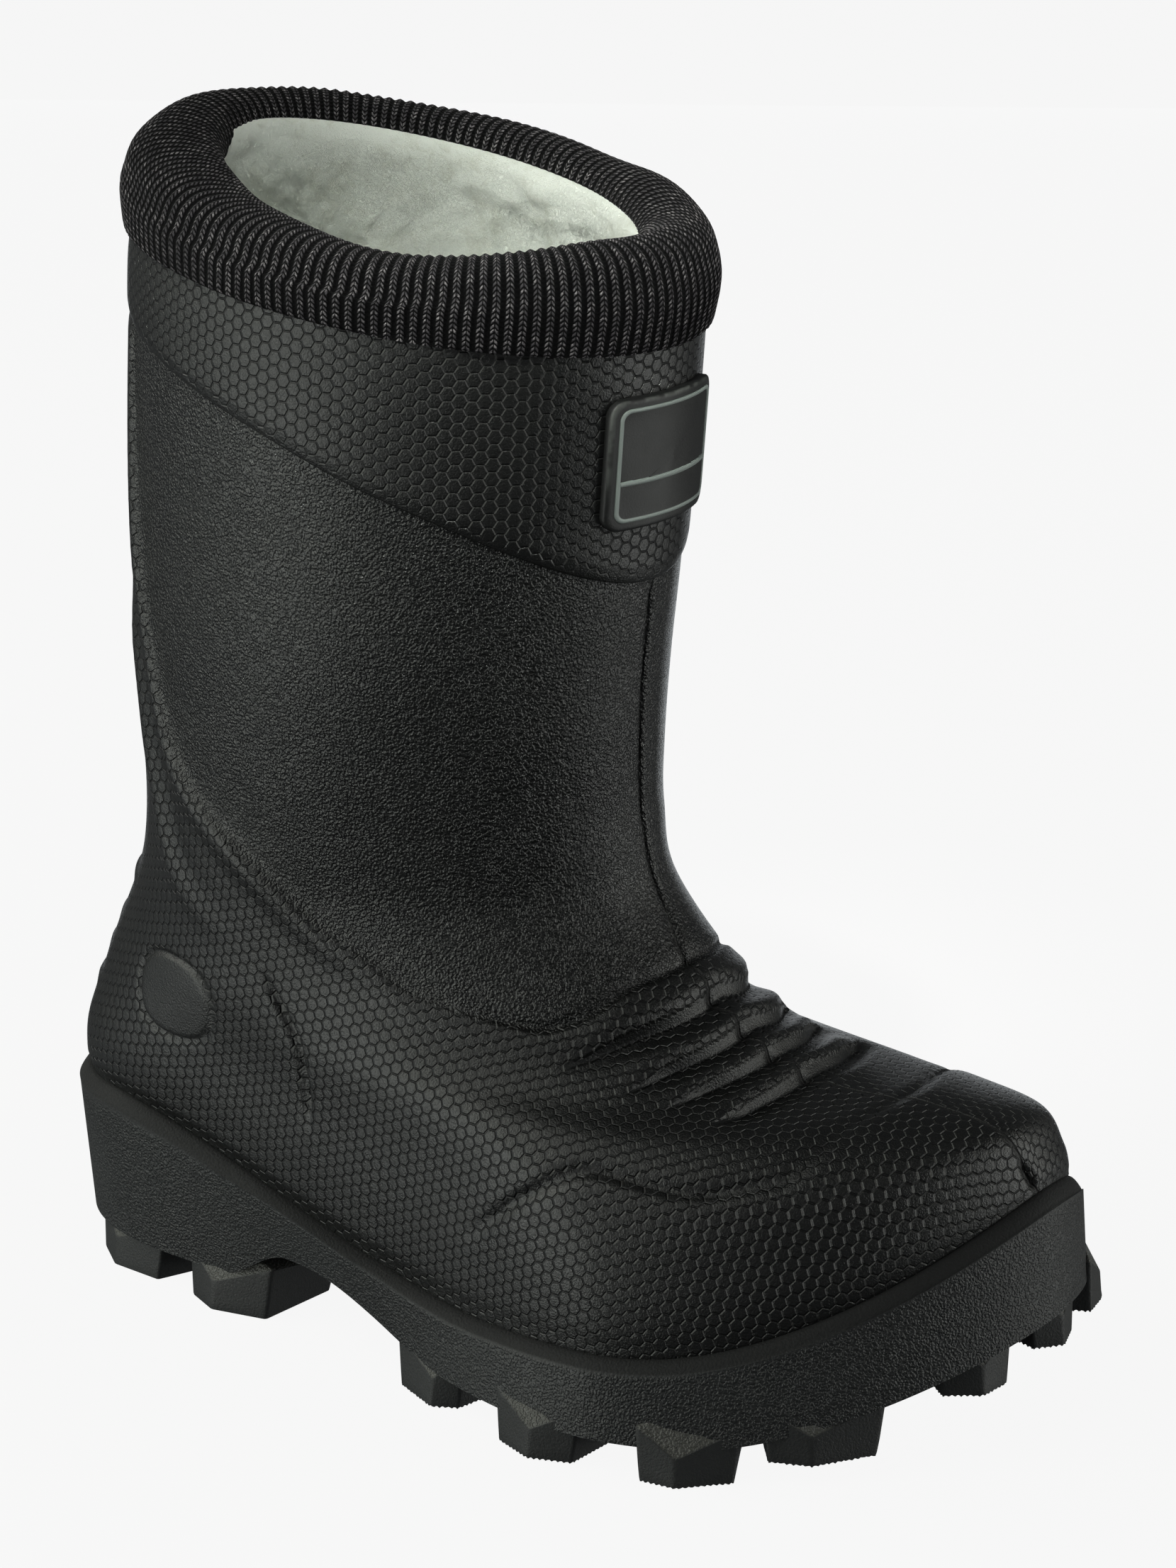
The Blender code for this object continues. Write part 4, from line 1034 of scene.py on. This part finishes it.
pileT = ringPlaces(pile["columns"])
pileV = np.linspace(collarRow, pile["lowest"], pile["rows"])
lipOut, lipRise = np.array(pile["lip"]).T[..., None]
pileLip = spread(np.repeat(upperPoint(pileT, collarRow)[None], len(lipOut), 0), lipOut)
pileLip[..., 2] += lipRise - roundCuff("sag", pileT)
pilePoints = np.concatenate([pileLip, pileSurface(pileT[None, :], pileV[:, None])])
pileLining = gridPiece("pileLining", pilePoints, ring=True)
dress(pileLining, pileFinish, "pile")

# Loose hairs near the opening: narrow tapering strips, each part of a circle that starts on the pile.
hairs = {
    "count": 3200, "seed": 7, "top": 11.75, "deep": 3.2, "long": 4.5, "bend": (1.2, 4.2), "wide": 0.07, "taper": 0.7,
    "steps": 7, "clear": 0.15, "out": 0.45, "lift": 0.9,
}
rng = np.random.default_rng(hairs["seed"])
hairT = rng.uniform(0.0, 2.0, hairs["count"])
hairV = hairs["top"] - hairs["deep"] * rng.uniform(0.0, 1.0, hairs["count"])
hairRoot = pileSurface(hairT, hairV)
hairNormal = -wallNormal(hairT, hairV)
hairSide = unit(np.cross(hairNormal, unit(rng.normal(size=hairRoot.shape))))
hairLift = unit(np.cross(hairSide, hairNormal))
hairBend = rng.uniform(*hairs["bend"], hairs["count"])[:, None]
hairLong = hairs["long"] * rng.uniform(0.5, 1.0, hairs["count"])[:, None]
hairSteps = np.linspace(0.0, 1.0, hairs["steps"])[None, :]
hairTurn = hairBend * hairSteps  # each hair turns steadily
hairAlong = (hairLong * np.sin(hairTurn) / hairBend)[..., None] * hairSide[:, None]
hairRise = hairs["out"] * hairNormal + hairs["lift"] * hairLift
hairUp = (hairLong * (1 - np.cos(hairTurn)) / hairBend)[..., None] * hairRise[:, None]
hairLine = hairRoot[:, None] + hairAlong + hairUp + hairs["clear"] * hairNormal[:, None]
hairAcross = unit(np.cross(np.gradient(hairLine, axis=1), hairNormal[:, None] + 0.001)) * hairs["wide"]
hairAcross = hairAcross * (1.0 - hairs["taper"] * hairSteps)[..., None]
pileHairs = gridPiece("pileHairs", np.stack([hairLine - hairAcross, hairLine + hairAcross], 2))
dress(pileHairs, pileFinish, "pile")


# Insole: a sheet with a soft top that follows the footbed.
insole = {
    "columns": 240, "rings": 20, "inset": 5.0, "thick": 4.0, "lump": 0.35, "lumpSize": 9.0, "spine": (8.0, 182.0),
    "side": [(0.012, 0.4), (0.0, 1.2), (0.0, 3.0)],  # share of the way in, height
}
insoleT = ringPlaces(insole["columns"])
insoleA = lengthShare(insoleT)
insoleEdge = spread(upperPoint(insoleT, 0.0), -insole["inset"])
insoleSpine = middleLine(insoleA, *insole["spine"])
insoleTop = [(q, insole["thick"]) for q in np.linspace(0.02, 1.0, insole["rings"])]
insoleRows = []
for q, lift in insole["side"] + insoleTop:
    loop = closeIn(insoleEdge, insoleSpine, q)
    loop[:, 2] = bedHeight(insoleA) + lift
    insoleRows.append(loop)
insolePoints = np.array(insoleRows)
softTop = insolePoints[len(insole["side"]):]
softTop[..., 2] += insole["lump"] * softNoise(softTop, insole["lumpSize"], seed=21)
insoleSheet = gridPiece("insoleSheet", insolePoints, ring=True)
dress(insoleSheet, pileFinish, "pile", "insole")
print("lining and insole made")


# Badge: a plain plate on the front of the band, with a raised frame and a low step.
badge = {
    "middle": 175.5, "foot": 1.3, "columns": 300,
    "rings": [  # half width, half height, corner, height over the plate's foot, on the frame line, paler at the edge
        (14.4, 12.0, 3.0, -0.3, 0, 0), (14.4, 12.0, 3.0, 0.95, 0, 0), (14.15, 11.75, 2.8, 1.28, 0, 1),
        (13.8, 11.4, 2.6, 1.40, 0, 0.6), (13.3, 11.0, 2.4, 1.40, 0, 0), (12.75, 10.45, 2.0, 1.36, 0, 0),
        (12.6, 10.3, 1.9, 1.55, 1, 0), (12.45, 10.15, 1.8, 1.66, 1, 0), (12.15, 9.85, 1.6, 1.66, 1, 0),
        (12.0, 9.7, 1.5, 1.55, 1, 0), (11.85, 9.55, 1.4, 1.30, 0, 0), (11.2, 9.0, 1.2, 1.26, 0, 0),
        (7.0, 6.0, 1.0, 1.26, 0, 0), (3.5, 3.0, 0.6, 1.26, 0, 0), (0.05, 0.05, 0.02, 1.26, 0, 0)],
    "fieldFrom": 10, "stepAt": -3.2, "step": 0.22,  # the lower field, inside the frame, stands a little higher
    "dividerHalf": 12.0, "dividerColumns": 60,
    "divider": [(-3.75, 1.1), (-3.6, 1.5), (-3.35, 1.62), (-3.0, 1.62), (-2.85, 1.5), (-2.7, 1.1)],  # up, height
}


def roundedRectangle(half, tall, corner, count):  # four quarter circles joined by straight sides, evenly spaced
    quarter = np.linspace(0, np.pi / 2, 12)
    outline = [np.stack([sx * (half - corner) + corner * np.cos(quarter + k * np.pi / 2),
                         sy * (tall - corner) + corner * np.sin(quarter + k * np.pi / 2)], 1)
               for k, (sx, sy) in enumerate(((1, 1), (-1, 1), (-1, -1), (1, -1)))]
    return evenLoop(np.concatenate(outline), count)[0]


def placeOnFront(y, z):  # (t, v) of points on the front of the shaft, found by small steps towards them
    t = 1.0 + 0.0 * y
    v = band["middle"] + 0.0 * y
    for _ in range(50):
        p = upperPoint(t, v)
        t = np.clip(t + (y - p[..., 1]) / 160.0, 0.6, 1.4)
        v = np.clip(v + (z - p[..., 2]) / 70.0, 9.8, 11.2)
    return t, v


badgePlan = np.array([roundedRectangle(*ring[:3], badge["columns"]) for ring in badge["rings"]])
badgeT, badgeV = placeOnFront(badgePlan[..., 0], badge["middle"] + badgePlan[..., 1])
badgeRise, frameLine, paleRim = np.array(badge["rings"]).T[3:, :, None]
inField = (np.arange(len(badge["rings"])) >= badge["fieldFrom"])[:, None]
badgeRise = badgeRise + badge["step"] * (inField & (badgePlan[..., 1] < badge["stepAt"]))
topLeft = ease((badgePlan[..., 1] - badgePlan[..., 0] * 0.6) / 14.0)  # the edge is paler at this corner
badgePlate = gridPiece("badgePlate", wallPoint(badgeT, badgeV, badge["foot"] + badgeRise), ring=True,
                       attributes={"frameLine": frameLine, "paleRimShare": paleRim * topLeft})
sharpen(badgePlate, 45)
dress(badgePlate, badgeFinish, "badge_rubber", "badge")

dividerU = np.linspace(-badge["dividerHalf"], badge["dividerHalf"], badge["dividerColumns"])[None, :]
dividerW, dividerRise = np.array(badge["divider"]).T[..., None]
dividerT, dividerV = placeOnFront(*np.broadcast_arrays(dividerU, badge["middle"] + dividerW))
divider = gridPiece("badgeDivider", wallPoint(dividerT, dividerV, badge["foot"] + dividerRise),
                    attributes={"frameLine": 1.0, "paleRimShare": 0.0})
dress(divider, badgeFinish, "badge_rubber")
print("badge made")


# Floor and light: area panels all round, and a narrow beam into the shaft.
stage = {
    "floor": 6.0, "world": 0.088, "ambient": (0.96, 1.0, 1.02, 1.0), "aim": (0.0, 0.0, 0.12),
    # name, place, size, watts and colour; those below the floor stand for light that a pale table sends back up
    "panels": [
        ("keyLight", (-1.05, -0.80, 0.60), (1.0, 0.8), 7.0, (0.95, 1.0, 0.89)),
        ("highLight", (-0.40, -0.85, 1.25), (0.9, 0.9), 5.0, (0.98, 1.0, 0.93)),
        ("tableFront", (-0.55, -1.00, -0.10), (0.6, 0.5), 4.2, (0.96, 1.0, 0.94)),
        ("tableLeft", (-1.00, -0.58, -0.15), (0.9, 0.6), 0.7, (0.90, 0.98, 1.0)),
        ("tableRight", (0.95, 0.55, -0.20), (0.8, 0.6), 3.0, (0.97, 1.0, 0.97)),
        ("rightLow", (0.95, 0.70, 0.35), (0.8, 0.8), 2.4, (1.0, 1.0, 0.9)),
        ("toeLight", (1.20, 0.36, 0.42), (0.5, 0.5), 2.6, (0.97, 1.0, 0.97)),
        ("overLeft", (-1.00, -0.16, 0.74), (0.5, 0.5), 2.0, (1.0, 0.99, 0.93)),
        ("backFill", (-0.75, 1.10, -0.20), (0.9, 0.6), 1.8, (0.92, 0.97, 1.0)),
        ("frontFill", (0.35, -1.30, 0.35), (1.2, 1.0), 0.9, (1.0, 1.0, 1.0)),
    ],
    "shaftSpot": {"place": (0.15, -0.55, 0.95), "aim": (-0.008, 0.012, 0.195), "watts": 115.0, "cone": 5.3,
                  "blend": 0.6, "soft": 0.06, "colour": (0.96, 1.0, 0.92)},
}
floorLine = np.linspace(-1.0, 1.0, 9) * stage["floor"] * 500.0
floorX, floorY = np.meshgrid(floorLine, floorLine)
floor = gridPiece("floor", np.stack([floorX, floorY, 0 * floorX], -1))
floor.data.materials.append(paleFloor())
# light passes through the floor, and the boot doesn't mirror it
floor.visible_glossy = False
floor.visible_diffuse = False
floor.visible_shadow = False
floor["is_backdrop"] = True

world = bpy.data.worlds.new("studio")
bpy.context.scene.world = world
world.use_nodes = True
background = world.node_tree.nodes["Background"]
background.inputs["Color"].default_value = stage["ambient"]
background.inputs["Strength"].default_value = stage["world"]


def hangLight(name, kind, place, aim, watts, colour):  # a light at a place, turned to face its aim
    lamp = bpy.data.lights.new(name, kind)
    lamp.energy = watts
    lamp.color = colour
    thing = bpy.data.objects.new(name, lamp)
    bpy.context.scene.collection.objects.link(thing)
    thing.visible_camera = False
    thing.location = place
    thing.rotation_euler = (Vector(aim) - Vector(place)).to_track_quat("-Z", "Y").to_euler()
    return lamp


for name, place, size, watts, colour in stage["panels"]:
    lamp = hangLight(name, "AREA", place, stage["aim"], watts, colour)
    lamp.shape = "RECTANGLE"
    lamp.size, lamp.size_y = size
beam = stage["shaftSpot"]
lamp = hangLight("shaftSpot", "SPOT", beam["place"], beam["aim"], beam["watts"], beam["colour"])
lamp.spot_size = math.radians(beam["cone"])
lamp.spot_blend = beam["blend"]
lamp.shadow_soft_size = beam["soft"]
print("stage lit by", len(stage["panels"]) + 1, "lights")

photo = {  # degrees, metres, and the focal length in pixels of the photo's long side
    "azimuth": 35.33, "elevation": 18.4, "roll": 0.27, "distance": 0.8124, "target": (0.00985, 0.0002, 0.11045),
    "focal": 6239.3, "pixels": 2212, "sensor": 36.0,
}
azimuth, elevation, roll = (math.radians(photo[k]) for k in ("azimuth", "elevation", "roll"))
right = Vector((math.cos(azimuth), math.sin(azimuth), 0.0))
back = Vector((math.sin(azimuth) * math.cos(elevation), -math.cos(azimuth) * math.cos(elevation), math.sin(elevation)))
up = back.cross(right)
turnRight = right * math.cos(roll) + up * math.sin(roll)
turnUp = up * math.cos(roll) - right * math.sin(roll)
lens = bpy.data.cameras.new("camera")
lens.sensor_fit = "AUTO"
lens.sensor_width = photo["sensor"]
lens.lens = photo["focal"] / photo["pixels"] * photo["sensor"]
lens.clip_start = 0.01
camera = bpy.data.objects.new("camera", lens)
bpy.context.scene.collection.objects.link(camera)
axes = Matrix((turnRight, turnUp, back)).transposed().to_4x4()
camera.matrix_world = Matrix.Translation(Vector(photo["target"]) + back * photo["distance"]) @ axes
bpy.context.scene.camera = camera
bpy.context.scene.view_settings.view_transform = "Standard"

visualBox = [[float(c) for c in corner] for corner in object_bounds()]
print("box grows by", [[round((v - c) * 1000, 1) for v, c in zip(*pair)] for pair in zip(visualBox, cadBox)], "mm")
